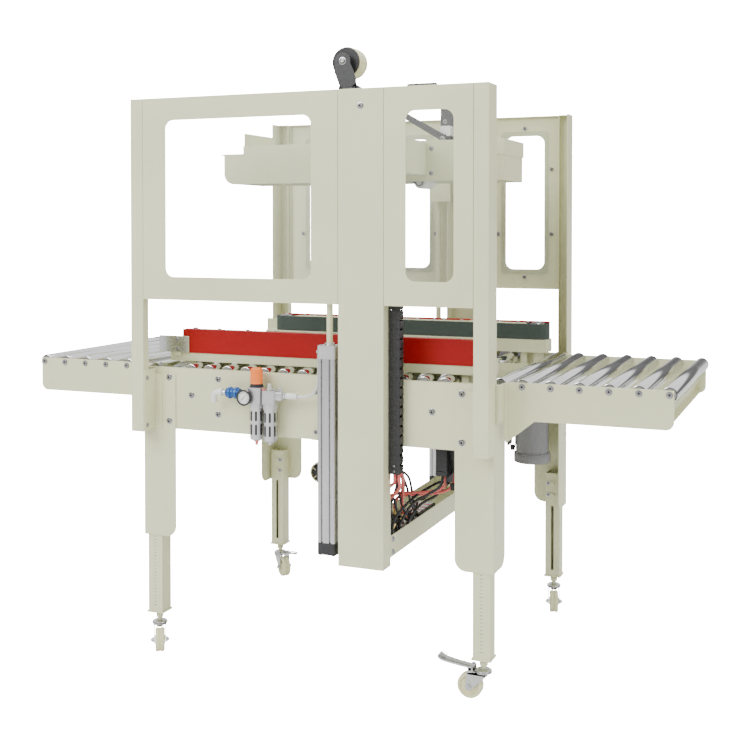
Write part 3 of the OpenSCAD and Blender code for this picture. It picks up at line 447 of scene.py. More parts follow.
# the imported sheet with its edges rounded, as bent and coated metal has them
def softCopy(node, bevel, angle=35):
    work = bmesh.new()
    work.from_mesh(frame["nodes"][node].data)
    bmesh.ops.remove_doubles(work, verts=work.verts, dist=2e-5)
    bmesh.ops.dissolve_limit(work, angle_limit=math.radians(0.6), verts=work.verts, edges=work.edges)
    data = bpy.data.meshes.new(node + "_soft")
    work.to_mesh(data)
    work.free()
    data.materials.append(materialFor[slotOf[node]])
    return placePiece(node + "_soft", data, bodyOf[node], [node], bevel, angle)


def arc(cx, cy, r, a0, a1, steps=8):
    return [(cx + r * math.cos(math.radians(a0 + (a1 - a0) * k / steps)),
        cy + r * math.sin(math.radians(a0 + (a1 - a0) * k / steps)))
        for k in range(steps + 1)]


# cosine and sine of each of count even steps round a circle
def around(count):
    return [(math.cos(math.tau * k / count), math.sin(math.tau * k / count)) for k in range(count)]


def roundRect(x0, x1, y0, y1, r, steps=6):
    return arc(x1 - r, y1 - r, r, 0, 90, steps) + arc(x0 + r, y1 - r, r, 90, 180, steps) \
        + arc(x0 + r, y0 + r, r, 180, 270, steps) + arc(x1 - r, y0 + r, r, 270, 360, steps)


# smooth points through a rough route
def smoothRoute(route, steps=6):
    route = [Vector(p) for p in route]
    out = []
    for i in range(len(route) - 1):
        p0, p1, p2, p3 = route[max(i - 1, 0)], route[i], route[i + 1], route[min(i + 2, len(route) - 1)]
        for k in range(steps):
            t = k / steps
            out.append(0.5 * ((2 * p1) + (p2 - p0) * t + (2 * p0 - 5 * p1 + 4 * p2 - p3) * t * t
                + (3 * p1 - p0 - 3 * p2 + p3) * t ** 3))
    return out + [route[-1]]


# button head with a washer and a hexagon socket; the black ring on the washer is a painted shadow round the head and
# the black disc in the socket is painted shade
def buttonBolt(shape, at, axis, d=12, washer=True):
    r = d / 2
    if washer:
        shape.lathe([(0, r * 1.48), (0.9, r * 1.48), (1.2, r * 1.40), (1.2, r * 0.8)], at, axis, zinc, 28)
        # thin black ring just above the washer: painted shadow round the foot of the head
        shape.lathe([(1.25, r * 1.14), (1.3, r * 0.9)], at, axis, blackPlastic, 28)
    h = r * 0.72
    shape.lathe([(0, r), (h * 0.35, r * 0.99), (h * 0.7, r * 0.86), (h, r * 0.62), (h, r * 0.46),
        (h * 0.25, r * 0.44), (h * 0.25, 0)], at, axis, boltSteel, 24)
    # black hexagon on the floor of the socket recess: painted shade inside the socket
    shape.lathe([(h * 0.26, r * 0.43), (h * 0.27, 0)], at, axis, blackPlastic, 6)


def hexHead(shape, at, axis, across, height, material=None):
    r = across / math.sqrt(3)
    shape.lathe([(0, r), (height * 0.85, r), (height, r * 0.88), (height, 0)], at, axis, material or zinc, 6)


panelNodes = ["guard_posts", "guard_panel_near_infeed", "guard_panel_near_outfeed", "guard_panels_far", "column_near",
    "column_far", "base_tray", "bed_sides", "leg_brackets", "guard_brackets", "table_infeed", "table_outfeed",
    "belt_cover_near", "belt_cover_far", "leg_tubes", "head_frame", "belt_carrier_near", "belt_carrier_far",
    "lift_carriage"]
for node in panelNodes:
    softCopy(node, 0.7 if "belt" in node else 0.9)
print("sheet metal softened")

# window sheets
paneSet = {"windows": ((-391, 426), (290, 122)), "low": 1026, "high": 414, "edge": 14, "face": 442.1, "thick": 2.4}
panes = Shape()
for side in (-1, 1):
    y = side * paneSet["face"]
    for x0, wide in paneSet["windows"]:
        m = paneSet["edge"]
        sheet = roundRect(x0 - m, x0 + wide + m, paneSet["low"] - m, paneSet["low"] + paneSet["high"] + m, 12)
        panes.sheet(sheet, y, side * paneSet["thick"], clearSheet)
panes.done("windowSheets", "frame", ["window_panes"], angle=30)
print("window sheets made")

# rollers
rollerSet = {"radius": 19, "z": 767, "bedFirst": -364, "bedPitch": 56, "bedCount": 14, "plateY": 383, "slotY": 69,
    "bedInfeed": -476, "bedOutfeed": 492, "tableY": 324.5, "tablePitch": 70.5, "outfeedFirst": 902,
    "infeedFirst": -878}


def roller(shape, x, y0, y1, in0, in1):
    r, z = rollerSet["radius"], rollerSet["z"]
    a, b = y0 + in0, y1 - in1
    shape.lathe([(0, 8), (2.5, 8), (2.5, 13), (1.2, 15.5), (0.2, r - 1.6), (0.6, r - 0.5), (1.8, r), (b - a - 1.8, r),
        (b - a - 0.6, r - 0.5), (b - a - 0.2, r - 1.6), (b - a - 1.2, 15.5), (b - a - 2.5, 13), (b - a - 2.5, 8),
        (b - a, 8)],
        (x, a, z), yDir, chromeY, 40)
    shape.lathe([(0, 5), (y1 - y0, 5)], (x, y0, z), yDir, zinc, 6)
    for edge, way in ((a, 1), (b, -1)):
        shape.lathe([(0.1, 15.2), (1.6, 13.2), (2.3, 8.2)], (x, edge, z), (0, way, 0), boltSteel, 32)


bedRollers = Shape()
for i in range(rollerSet["bedCount"]):
    x = rollerSet["bedFirst"] + rollerSet["bedPitch"] * i
    roller(bedRollers, x, -rollerSet["plateY"], -rollerSet["slotY"], 17, 3)
    roller(bedRollers, x, rollerSet["slotY"], rollerSet["plateY"], 3, 17)
for x, inset in ((rollerSet["bedInfeed"], 17), (rollerSet["bedOutfeed"], 62.5)):
    roller(bedRollers, x, -rollerSet["plateY"], rollerSet["plateY"], inset, inset)
bedRollers.done("bedRollers", "frame", ["bed_rollers"])

tableRollers = Shape()
tableRollerX = [rollerSet["outfeedFirst"] - rollerSet["tablePitch"] * i for i in range(6)]
tableRollerX += [rollerSet["infeedFirst"] + rollerSet["tablePitch"] * i for i in range(5)]
for x in tableRollerX:
    roller(tableRollers, x, -rollerSet["tableY"], rollerSet["tableY"], 3, 3)
    for side in (-1, 1):
        at = (x, side * (rollerSet["tableY"] + 3), rollerSet["z"])
        tableRollers.lathe([(0, 8.4), (0.8, 8.4), (0.9, 6.6), (2.9, 6.0), (3.2, 4.6), (3.2, 3.0), (1.6, 3.0),
            (1.6, 0)], at, (0, side, 0), boltSteel, 20)
        # black hexagon on the floor of the axle-end recess: painted shade inside the socket
        tableRollers.lathe([(1.7, 3.0), (1.75, 0)], at, (0, side, 0), blackPlastic, 6)
tableRollers.done("tableRollers", "frame", ["table_rollers"])
print("rollers made")

# frame bolts
frameBolts = Shape()
for side in (-1, 1):
    buttonBolt(frameBolts, (171, side * 445, 1457), (0, side, 0), 12)
    for z in (343, 375):
        buttonBolt(frameBolts, (232, side * 381, z), xDir, 11)
    for end in (-1, 1):
        for z in (632, 751):
            buttonBolt(frameBolts, (end * 416, side * 389, z), (0, side, 0), 13)
        for z in (625, 752):
            buttonBolt(frameBolts, (end * 459.5, side * 431, z), (-end, 0, 0), 9)
        for z in (350, 385):
            buttonBolt(frameBolts, (end * 453, side * 339, z), (0, -side, 0), 8)
    for x, z in ((-266, 752), (-348, 705), (-266, 658), (338, 702)):
        buttonBolt(frameBolts, (x, side * 386, z), (0, side, 0), 12.5)
    for x0, wide in paneSet["windows"]:
        y = side * 439.5
        for z in (1002, 1464):
            buttonBolt(frameBolts, (x0 + wide / 2, y, z), (0, -side, 0), 9)
        for x in (x0 - 24, x0 + wide + 24):
            for z in (1136, 1336):
                buttonBolt(frameBolts, (x, y, z), (0, -side, 0), 9)
frameBolts.done("frameBolts", "frame", ["frame_bolts"])

# tick scales of the height adjustment
scaleSet = {"x": 465, "y": 386.06, "low": 122, "pitch": 9, "count": 22}
scales = Shape()
for sx in (-1, 1):
    for sy in (-1, 1):
        for k in range(scaleSet["count"]):
            x, y, z = sx * scaleSet["x"], sy * scaleSet["y"], scaleSet["low"] + k * scaleSet["pitch"]
            long = 9 if k % 5 == 0 else 5
            scales.faces([(x - long / 2, y, z), (x + long / 2, y, z), (x + long / 2, y, z + 1.1),
                (x - long / 2, y, z + 1.1)], [(0, 1, 2, 3)], darkPaint)
scales.done("legScales", "legs", [])
print("bolts and scales made")

# casters
casterSet = {"near_infeed": (-1, -1, 123), "near_outfeed": (1, -1, 0), "far_infeed": (-1, 1, 138),
    "far_outfeed": (1, 1, 104)}
stem = {"x": 465, "y": 364, "trail": 34, "wheelR": 32}


def casterFork(name, sx, sy, turn, brake):
    shape = Shape()
    cx, cz = -stem["trail"], stem["wheelR"]
    # swivel head: two dished races with a ball track between them
    shape.turned([(77, 6.2), (77, 12), (75.5, 17), (73.4, 20.2), (71.2, 21), (70.6, 20.4), (72, 18), (72, 6.2)], 0, 0,
        zinc, 40)
    shape.turned([(70.2, 6.2), (70.2, 19.2), (69, 20.8), (67.2, 21), (66.8, 20), (67.4, 17), (67.4, 11)], 0, 0, zinc,
        40)
    for c, s in around(18):
        shape.lathe([(-1.6, 0), (-1.1, 1.2), (0, 1.6), (1.1, 1.2), (1.6, 0)], (18.6 * c, 18.6 * s, 70.4), zDir,
            polished, 8)
    for side in (-1, 1):
        y = side * 14.5
        cheek = arc(cx, cz, 9.5, 150, 330, 12) + [(-8, 44), (9, 60), (12, 68), (-24, 68), (-39, 66)]
        shape.sheet(cheek, y, -2.5 * side, zinc)
        shape.sheet([(-24, 62), (12, 62), (12, 70), (-24, 70)], side * 17, side * 2.6, zinc)
        hexHead(shape, (cx, side * 17, cz), (0, side, 0), 12.5, 5)
        shape.lathe([(0, 4), (3.6, 4), (4, 3.2), (4, 0)], (cx, side * 19.8 + side * 1.5, cz), (0, side, 0), zinc, 20)
        if brake:
            shape.sheet(arc(-30, 76, 6.8, -20, 200, 12) + [(-38, 62), (-22, 62)], y, -2.5 * side, zinc)
    shape.slab(roundRect(-23, 12, -17, 17, 5), 67.4, 2.4, zinc)
    matrix = Matrix.Translation((sx * stem["x"] * mm, sy * stem["y"] * mm, 0)) @ Matrix.Rotation(math.radians(turn),
        4, "Z")
    shape.mesh.transform(matrix)
    shape.done("casterFork_" + name, "swivel_" + name, ["caster_fork_" + name], bevel=0.35)
    wheel = Shape()
    half = [(12.5, 24), (12.8, 26), (12.2, 29.2), (9.6, 31.4), (6.4, 32), (2.6, 32), (1.9, 31), (1.9, 30.2)]
    profile = [(-14.2, 5), (-14.2, 10.5), (-13.2, 11.6), (-9.4, 12.4), (-8.6, 22.4), (-11.2, 23.6)] + [(-a, r) for a,
        r in half] \
        + [(a, r) for a, r in reversed(half)] + [(11.2, 23.6), (8.6, 22.4), (9.4, 12.4), (13.2, 11.6), (14.2, 10.5),
            (14.2, 5)]
    wheel.lathe(profile, (cx, 0, cz), yDir, nylon, 64)
    for side in (-1, 1):
        wheel.lathe([(8.8, 21), (9.6, 20.4), (9.6, 14.4), (8.9, 13.8)], (cx, 0, cz), (0, side, 0), nylon, 48)
        wheel.lathe([(13.9, 9.8), (14.25, 9.2), (14.25, 5)], (cx, 0, cz), (0, side, 0), zinc, 32)
    wheel.mesh.transform(matrix)
    wheel.done("casterWheel_" + name, "wheel_" + name, ["caster_wheel_" + name], angle=30)
    if brake:
        pedal = Shape()
        top = [(-24, 79.5), (-38, 81), (-66, 84), (-92, 88), (-108, 92), (-115, 98)]
        rim = [(x, z, 13 if x > -60 else 13 + (-60 - x) * 0.06) for x, z in top]
        points = []
        for x, z, w in rim:
            points += [(x, -w, z - 5), (x, -w, z), (x, -w + 2, z + 0.6), (x, w - 2, z + 0.6), (x, w, z),
                (x, w, z - 5), (x, w - 1.8, z - 5), (x, w - 1.8, z - 1.4), (x, -w + 1.8, z - 1.4),
                (x, -w + 1.8, z - 5)]
        n = 10
        loops = [(i * n + k, i * n + (k + 1) % n, (i + 1) * n + (k + 1) % n,
            (i + 1) * n + k) for i in range(len(rim) - 1) for k in range(n)]
        loops += [tuple(range(n)), tuple(reversed(range((len(rim) - 1) * n, len(rim) * n)))]
        pedal.faces(points, loops, zinc)
        for x in (-98, -103, -108):
            z = 94.6 + (-98 - x) * 0.42
            pedal.box(x - 1, x + 1, -12, 12, z, z + 2.4, zinc)
        pedal.lathe([(0, 4), (38, 4)], (-30, -19, 76), yDir, zinc, 20)
        for side in (-1, 1):
            pedal.lathe([(0, 5.6), (1.2, 5.6), (1.8, 4.6), (1.8, 0)], (-30, side * 17.2, 76), (0, side, 0), zinc, 20)
            pedal.sheet([(-36, 74), (-24, 74), (-24, 80), (-38, 81)], side * 13, side * 1.8, zinc)
        pedal.mesh.transform(matrix)
        pedal.done("brakePedal_" + name, "brake_" + name, ["brake_pedal_" + name], bevel=0.3)


for name, (sx, sy, turn) in casterSet.items():
    casterFork(name, sx, sy, turn, name in ("near_outfeed", "far_infeed"))
print("casters made")

# side belts, motors
beltSet = {"y": 282, "z": 826, "high": 46, "driveX": 436, "idleX": -398, "motorX": 418, "radius": 28, "thick": 4}


def sideUnit(name, side):
    y, driveX, idleX = side * beltSet["y"], beltSet["driveX"], beltSet["idleX"]
    unit = "belt_unit_" + name
    r0, r1 = beltSet["radius"], beltSet["radius"] + beltSet["thick"]
    z0, z1 = beltSet["z"], beltSet["z"] + beltSet["high"]

    def loop(r):
        return arc(driveX, y, r, -90, 90, 24) + arc(idleX, y, r, 90, 270, 24)

    belt = Shape()
    section = [(r1, z0 + 0.8), (r1 - 0.8, z0), (r0, z0), (r0, z1), (r1 - 0.8, z1), (r1, z1 - 0.8)]
    rings = [[(*p, z) for p in loop(r)] for r, z in section]
    count, n = len(rings[0]), len(section)
    points = [p for ring in rings for p in ring]
    loops = [(i * count + k, i * count + (k + 1) % count, ((i + 1) % n) * count + (k + 1) % count,
        ((i + 1) % n) * count + k)
        for i in range(n) for k in range(count)]
    belt.faces(points, loops, greenBelt)
    belt.done("sideBelt_" + name, unit, ["side_belt_" + name], angle=30)

    # clamp screws and a cap strip along the top of the belt bed
    trim = Shape()
    trim.box(idleX + 40, driveX - 40, y - 24, y + 24, z1 - 2, z1 + 0.5, creamPaint)
    for k in range(9):
        x = idleX + 70 + k * 88
        hexHead(trim, (x, y - 12 * side, z1 + 0.5), zDir, 10, 4)
        hexHead(trim, (x + 26, y + 8 * side, z1 + 0.5), zDir, 8, 3)
    for x in (idleX, driveX):
        trim.box(x - 20, x + 20, y - 8, y + 8, z1 - 1.5, z1 + 2, zinc)
        hexHead(trim, (x, y, z1 + 2), zDir, 13, 4)
    trim.box(-489, -396, side * 324.2, side * 325, 813, 856, zinc)
    for z in (822, 846):
        buttonBolt(trim, (-430, side * 325, z), (0, side, 0), 8)
    trim.done("beltTrim_" + name, unit, [], bevel=0.3)

    for kind, x, pin in (("drive", driveX, 10), ("idle", idleX, 6.05)):
        pulley = Shape()
        body = ("drive_" if kind == "drive" else "idler_") + name
        profile = [(1, pin), (1, 27), (1.8, 27.6), (8, 27.7)]
        for k in range(9):
            profile += [(9 + 3 * k, 27.7), (10 + 3 * k, 27.0), (11 + 3 * k, 27.7)]
        profile += [(44.2, 27.6), (45, 27), (45, 18), (43, 17), (43, pin)]
        pulley.lathe(profile, (x, y, z0), zDir, aluminium, 48)
        if kind == "drive":
            pulley.turned([(665, 9.2), (666, 10), (826, 10), (871, 10), (872, 9), (872, 0)], x, y, zinc, 32)
        pulley.done(f"{kind}Pulley_{name}", body, [f"{kind}_pulley_{name}"], angle=30)

    motor = Shape()
    x = beltSet["motorX"]
    # gearbox with rounded corners and cooling ribs
    motor.slab(roundRect(x - 47.5, x + 47.5, y - 45.5, y + 45.5, 12), 618, 74, motorPaint)
    for low, high in ((690, 5), (600, 9)):
        motor.slab(roundRect(x - 48, x + 48, y - 46, y + 46, 10), low, high, motorPaint)
    for k in range(7):
        motor.slab(roundRect(x - 48, x + 48, y - 46, y + 46, 12), 618 + k * 10, 2.4, motorPaint)
    motor.turned([(487, 49), (600, 49)], x, y, motorPaint, 64)
    motor.turned([(458.5, 0), (458.5, 44), (459, 51), (461, 53.6), (464, 54.4), (484, 54.4), (487.4, 53),
        (488.6, 49)], x, y, motorPaint, 64)
    motor.lathe([(694, 17), (740, 17), (740, 10.05), (694, 10.05)], (driveX, y, 0), zDir, zinc, 32)
    for k in range(4):
        a = math.radians(45 + 90 * k)
        buttonBolt(motor, (x + 48 * math.cos(a), y + 48 * math.sin(a), 489), zDir, 7, False)
        hexHead(motor, (x + 40 * math.cos(a), y + 38 * math.sin(a), 695), zDir, 10, 4)
    # terminal box with its gland
    motor.plate(roundRect(505, 565, y - 24, y + 24, 6), (x - 71, 0, 0), zDir, yDir, -3, blackPlastic)
    motor.plate(roundRect(508, 562, y - 21, y + 21, 6), (x - 48, 0, 0), zDir, yDir, -23, motorPaint)
    motor.lathe([(0, 8), (8, 8), (9, 7), (16, 6.5), (16, 3.5)], (x - 60, y, 505), (0, 0, -1), blackPlastic, 24)
    motor.done("gearMotor_" + name, unit, ["gear_motor_" + name], bevel=0.5)


sideUnit("near", -1)
sideUnit("far", 1)
print("side belts made")

# lift cylinders
liftSet = {"x": 75, "y": 417, "half": 25, "low": 333, "top": 860, "rod": 8, "yoke": 1238}


def liftCylinder(shape, side):
    x, y, h = liftSet["x"], side * liftSet["y"], liftSet["half"]
    # extruded barrel: round corners with two grooves on each side
    def outline(reach, groove):
        quarter = [(reach, -reach + 6), (reach, -14), (reach - groove, -13), (reach - groove, -9), (reach, -8),
            (reach, 8),
            (reach - groove, 9), (reach - groove, 13), (reach, 14), (reach, reach - 6)] + arc(reach - 5.5,
            reach - 5.5, 5.5, 10, 80, 4)
        out = []
        for k in range(4):
            c, s = math.cos(math.pi / 2 * k), math.sin(math.pi / 2 * k)
            out += [(x + a * c - b * s, y + a * s + b * c) for a, b in quarter]
        return out
    shape.slab(outline(h - 0.6, 4.5), 362, 466, aluminium)
    shape.slab(roundRect(x - h, x + h, y - h, y + h, 6), 827, 33, castAlloy)
    shape.slab(roundRect(x - h, x + h, y - h, y + h, 6), 333, 30, blackPlastic)
    shape.turned([(860, 14), (862, 13.6), (865.5, 12.8), (866, 12), (866, 8.1)], x, y, zinc, 32)
    for sx in (-1, 1):
        for sy in (-1, 1):
            buttonBolt(shape, (x + sx * 17.5, y + sy * 17.5, 860), zDir, 7.5, False)
            hexHead(shape, (x + sx * 17.5, y + sy * 17.5, 333), (0, 0, -1), 8, 2.6, zinc)
    # port elbow that takes the clear tube
    if side < 0:
        shape.lathe([(0, 6), (3, 6), (3, 5), (10, 5), (11, 4.4)], (50, y, 842), (-1, 0, 0), zinc, 20)
        shape.lathe([(0, 5.2), (7, 5.2), (8, 4.4), (8, 4.1)], (44, y, 845), (0, 0, -1), blackPlastic, 20)
    # sensor and bracket on the barrel
    shape.box(x - h - 3, x - h + 1, y - 4, y + 4, 520, 548, blackPlastic)
    shape.box(12, x + 20, side * 386, side * 392, 611, 754, creamPaint)
    for z in (632, 735):
        buttonBolt(shape, (24, side * 392, z), (0, side, 0), 9)


cylinders = Shape()
for side in (-1, 1):
    liftCylinder(cylinders, side)
cylinders.done("liftCylinders", "frame", ["lift_cylinders"], bevel=0.4)
print("lift cylinders made")

# cable chain
chainSet = {"x0": 232.5, "x1": 262.5, "y0": -413, "y1": -389, "low": 545, "top": 1440, "pitch": 24}
x0, x1, y0, y1 = (chainSet[key] for key in ("x0", "x1", "y0", "y1"))
chain = Shape()
links = int((chainSet["top"] - chainSet["low"]) / chainSet["pitch"])
for k in range(links):
    z = chainSet["low"] + k * chainSet["pitch"]
    for y in (y0, y1 - 2.4):
        side = roundRect(x0 + 0.5, x1, z + 0.2, z + chainSet["pitch"] - 0.2, 1, 2)
        chain.sheet(side, y + 2.4, 2.4, blackPlastic)
        chain.lathe([(0, 6.5), (0.8, 6.5), (1, 6), (1, 0)],
            (x0 + 15, y if y == y0 else y + 2.4, z + 22),
            (0, -1 if y == y0 else 1, 0), blackPlastic, 20)
    bar = roundRect(x1 - 3, x1 + 1.6, z + 3, z + 21, 1.4, 3)
    chain.plate(bar, (0, y1 - 1, 0), xDir, zDir, y1 - y0 - 2, blackPlastic)
    chain.box(x0 + 0.5, x0 + 4, y0 + 1, y1 - 1, z + 6, z + 17,
        blackPlastic)
for y in (-406, -396):
    chain.tube([(247, y, chainSet["low"] + 2), (247, y, chainSet["top"] - 2)], 3.4,
        coralTube if y < -400 else blackPlastic, 8)
for z in (553, 566):
    buttonBolt(chain, (x0 + 15, y0 - 0.2, z), (0, -1, 0), 6.5, False)
chain.box(x0, x0 + 20, -390, -386, 631, 671, blackPlastic)
chain.done("cableChain", "frame", ["cable_chain"], bevel=0.3)
print("cable chain made")

# air unit
airSet = {"x": -134, "y": -417, "z": 724}


def bowl(shape, x, low, drain):
    y = airSet["y"]
    shape.lathe([(low + 1, 0), (low + 1, 12), (low + 3, 15.6), (low + 6, 17.2), (low + 10, 17.6), (low + 84, 17.6),
        (low + 85, 18.2), (702, 18.2)],
        (x, y, 0), zDir, castAlloy, 48)
    # two rows of sight slots through the guard, drawn as thin black plates: painted shade in the openings
    for k in range(8):
        a = math.tau * k / 8 + math.pi / 8
        c, s = math.cos(a), math.sin(a)
        for z0, z1 in ((low + 16, low + 44), (low + 52, low + 78)):
            slot = roundRect(-2.8, 2.8, z0, z1, 2.7, 4)
            shape.plate(slot, (x + 17.0 * c, y + 17.0 * s, 0), (-s, c, 0), zDir, 0.95, blackPlastic)
    for c, s in around(24):
        shape.lathe([(0, 1.0), (9, 1.0)], (x + 18.0 * c, y + 18.0 * s, 690), zDir, castAlloy, 6)
    if drain:
        shape.turned([(low - 12, 0), (low - 12, 4), (low - 2, 4.4), (low - 2, 8), (low + 1.5, 8)], x, y, coralTube,
            24)
    else:
        shape.turned([(low - 6, 0), (low - 6, 6), (low + 1.5, 6.5)], x, y, castAlloy, 24)


air = Shape()
ax, ay, az = airSet["x"], airSet["y"], airSet["z"]
bowl(air, ax, 604, True)
bowl(air, ax + 40, 602, False)
air.slab(roundRect(ax - 19, ax + 19, ay - 18, ay + 18, 5), 701, 42, castAlloy)
air.slab(roundRect(ax + 21, ax + 60, ay - 16, ay + 16, 5), 701, 35, castAlloy)
air.box(ax + 18.5, ax + 21.5, ay - 14, ay + 14, 706, 734, blackPlastic)
air.turned([(743, 18), (747, 18), (747.5, 16.5), (752, 16.5)], ax, ay, blackPlastic, 40)
air.turned([(750, 10), (775, 10)], ax, ay, blackPlastic, 24)
# oil sight dome and filler plug on the lubricator
air.turned([(736, 7), (740, 7), (741, 5.4), (750, 5.2), (753, 3.5), (754, 0)], ax + 36, ay + 3, clearTube, 24)
hexHead(air, (ax + 51, ay - 4, 736), zDir, 9, 6)
air.lathe([(0, 3.4), (5, 3.4), (5.6, 2.6), (5.6, 0)], (ax + 25, ay - 8, 736), zDir, coralTube, 20)
# gauge: case, dial, ticks and needle
gx, gy, gz = ax - 24, ay - 27, 717
air.lathe([(13, 8), (6, 8), (6, 14), (1, 20.4), (0.6, 21), (-0.4, 21), (-1.6, 19.8), (-1.8, 17.4), (-0.6, 16.4),
    (0.8, 16.2)], (gx, gy, gz), yDir, blackPlastic, 48)
air.lathe([(0.7, 16.4), (0.6, 0)], (gx, gy, gz), yDir, whitePlastic, 48)
for k in range(28):
    a = math.radians(-225 + 270 * k / 27)
    c, s = math.cos(a), math.sin(a)
    r0 = 11.0 if k % 3 == 0 else 12.8
    w = 0.35 if k % 3 else 0.55
    air.faces([(gx - c * r0 - s * w, gy + 0.45, gz - s * r0 + c * w),
        (gx - c * 14.8 - s * w, gy + 0.45, gz - s * 14.8 + c * w),
        (gx - c * 14.8 + s * w, gy + 0.45, gz - s * 14.8 - c * w),
        (gx - c * r0 + s * w, gy + 0.45, gz - s * r0 - c * w)], [(0, 1, 2, 3)], blackPlastic)
air.faces([(gx - 7, gy + 0.1, gz - 5.6), (gx - 6, gy + 0.1, gz - 7), (gx + 10.5, gy + 0.1, gz + 11)], [(0, 1, 2)],
    blackPlastic)
air.lathe([(-0.4, 2.4), (0.5, 2.4), (-0.4, 0)], (gx, gy, gz), yDir, zinc, 20)
# outlet block, fitting and collet
air.plate(roundRect(ay - 12, ay + 12, 712, 734, 3), (ax + 60, 0, 0), yDir, zDir, 18, castAlloy)
air.turned([(734, 6), (741, 6), (741, 4), (747, 4), (748, 3), (748, 0)], ax + 69, ay, zinc, 6)
air.lathe([(77, 9.4), (84, 9.4), (84, 7.4), (88, 7.4)], (ax, ay, az), xDir, zinc, 6)
air.lathe([(87, 8), (104, 8), (106, 7.2), (107, 6.6), (112, 6.6), (112, 7.6), (116, 7.6), (117, 6.8), (117, 4.1)],
    (ax, ay, az), xDir, whitePlastic, 28)
# inlet: pipe through the slide valve, elbow and hose tail
air.lathe([(-104, 7), (-18, 7)], (ax, ay, az), xDir, zinc, 28)
air.lathe([(-34, 9.5), (-24, 9.5), (-23, 11), (-18, 11)], (ax, ay, az), xDir, castAlloy, 8)
air.lathe([(-112, 9), (-108, 9), (-107, 10.4), (-101, 10.4), (-101, 7)], (ax, ay, az), xDir, whitePlastic, 28)
air.tube(smoothRoute([(ax - 104, ay, az), (ax - 114, ay, az), (ax - 122, ay, az - 3), (ax - 126, ay, az - 10),
    (ax - 127, ay, az - 22)], 4), 7.6, whitePlastic, 20)
air.lathe([(0, 9), (6, 9), (7, 7.4), (7, 4.2)], (ax - 127, ay, az - 20), (0, 0, -1), whitePlastic, 24)
air.box(ax - 12, ax + 12, ay + 17, -386, 706, 738, creamPaint)
air.done("airUnit", "frame", ["air_unit"], bevel=0.35)

knob = Shape()
knob.turned([(745.2, 12), (745.2, 16), (746, 16.4), (752, 16.4), (753, 15.4), (754, 15.8), (788, 15.3), (791, 14.3),
    (792.6, 11.6), (793, 0)], ax, ay, orangePlastic, 48)
for c, s in around(24):
    knob.turned([(756, 1.0), (787, 0.8)], ax + 15.3 * c, ay + 15.3 * s, orangePlastic, 6)
knob.done("pressureKnob", "pressure_knob", ["regulator_knob"], angle=40)

valve = Shape()
valve.lathe([(0, 7.1), (0, 11.6), (1.2, 12.6), (6, 12.8), (7.4, 14.6), (14, 15), (15, 13.4), (18, 12.6), (22, 12.6),
    (25, 13.4), (26, 15),
    (33, 14.8), (34.4, 13), (38.8, 12.6), (40, 11.4), (40, 7.1)], (ax - 88, ay, az), xDir, bluePlastic, 40)
for c, s in around(30):
    for x in (7.5, 26.5):
        valve.lathe([(0, 0.7), (6, 0.7)], (ax - 88 + x, ay + 14.7 * c, az + 14.7 * s), xDir, bluePlastic, 5)
valve.done("airShutoff", "air_shutoff", ["slide_valve"], angle=40)
print("air unit made")

# hoses
hoseRoutes = [
    [(172, -362, 424.2), (172, -362, 440), (178, -363, 462), (196, -366, 484), (220, -374, 504), (238, -388, 518),
    (244, -400, 530), (244, -400, 544.8)],
    [(194, -362, 424.2), (194, -362, 436), (202, -364, 456), (222, -370, 476), (244, -382, 496), (256, -394, 512),
    (256, -400, 528), (256, -400, 544.8)],
    [(172, -316, 424.2), (172, -316, 438), (182, -312, 458), (212, -302, 470), (250, -292, 474), (300, -286, 480),
    (332, -284, 494), (338, -284, 512), (338, -284, 529.8)],
    [(194, -270, 424.2), (194, -270, 436), (204, -268, 454), (236, -262, 462), (284, -254, 466), (330, -248, 478),
    (346, -246, 496), (350, -246, 514), (350, -246, 529.8)]]
hoses = Shape()
for route in hoseRoutes:
    hoses.tube(smoothRoute(route), 4, coralTube, 14)
hoses.tube(smoothRoute([(-16.8, -417, 724), (-4, -417, 724), (14, -417, 727), (30, -417, 736), (39, -417, 752),
    (43, -417, 774), (44, -417, 800), (44, -417, 822), (44, -417, 836.8)]), 3.9, clearTube, 16)
hoses.done("airHoses", "frame", ["air_hoses"], angle=60)

# valve block and control box
valveSet = {"base": 334, "first": -380, "pitch": 46, "count": 3}
valves = Shape()
z = valveSet["base"]
valves.slab(roundRect(150, 212, -385, -240, 2), z, 22, castAlloy)
for i in range(valveSet["count"]):
    y = valveSet["first"] + i * valveSet["pitch"]
    valves.box(158, 206, y + 2, y + 34, z + 22, z + 48, castAlloy)
    valves.slab(roundRect(160, 204, y + 4, y + 32, 3), z + 48, 6, blackPlastic)
    # coil with its plug on top
    valves.slab(roundRect(159, 205, y, y + 36, 4), z + 54, 18, blackPlastic)
    valves.turned([(z + 72, 11), (z + 75, 11), (z + 76, 9)], 183, y + 18, zinc, 6)
    for x in (172, 194):
        valves.turned([(z + 71, 6), (z + 78, 6), (z + 78, 5), (z + 84, 5), (z + 85, 6), (z + 89.6, 6), (z + 90, 5.2),
            (z + 90, 4.1)], x, y + 18, brass, 24)
    for x in (162, 202):
        buttonBolt(valves, (x, y + 5, z + 48), zDir, 4, False)
    valves.lathe([(0, 7), (4, 7), (5, 5.5), (14, 5.5), (14, 3)], (205, y + 18, z + 36), xDir, zinc, 20)
valves.lathe([(0, 7), (8, 7), (8, 5.5), (12, 5.5)], (211, -300, z + 11), xDir, brass, 6)
valves.slab(roundRect(150, 205, -120, 20, 3), z, 40, blackPlastic)
for k in range(12):
    valves.box(156, 199, -114 + k * 11, -106 + k * 11, z + 39, z + 41.5, whitePlastic if k % 3 else coralTube)
valves.done("valveBlock", "frame", ["valve_block"], bevel=0.4)

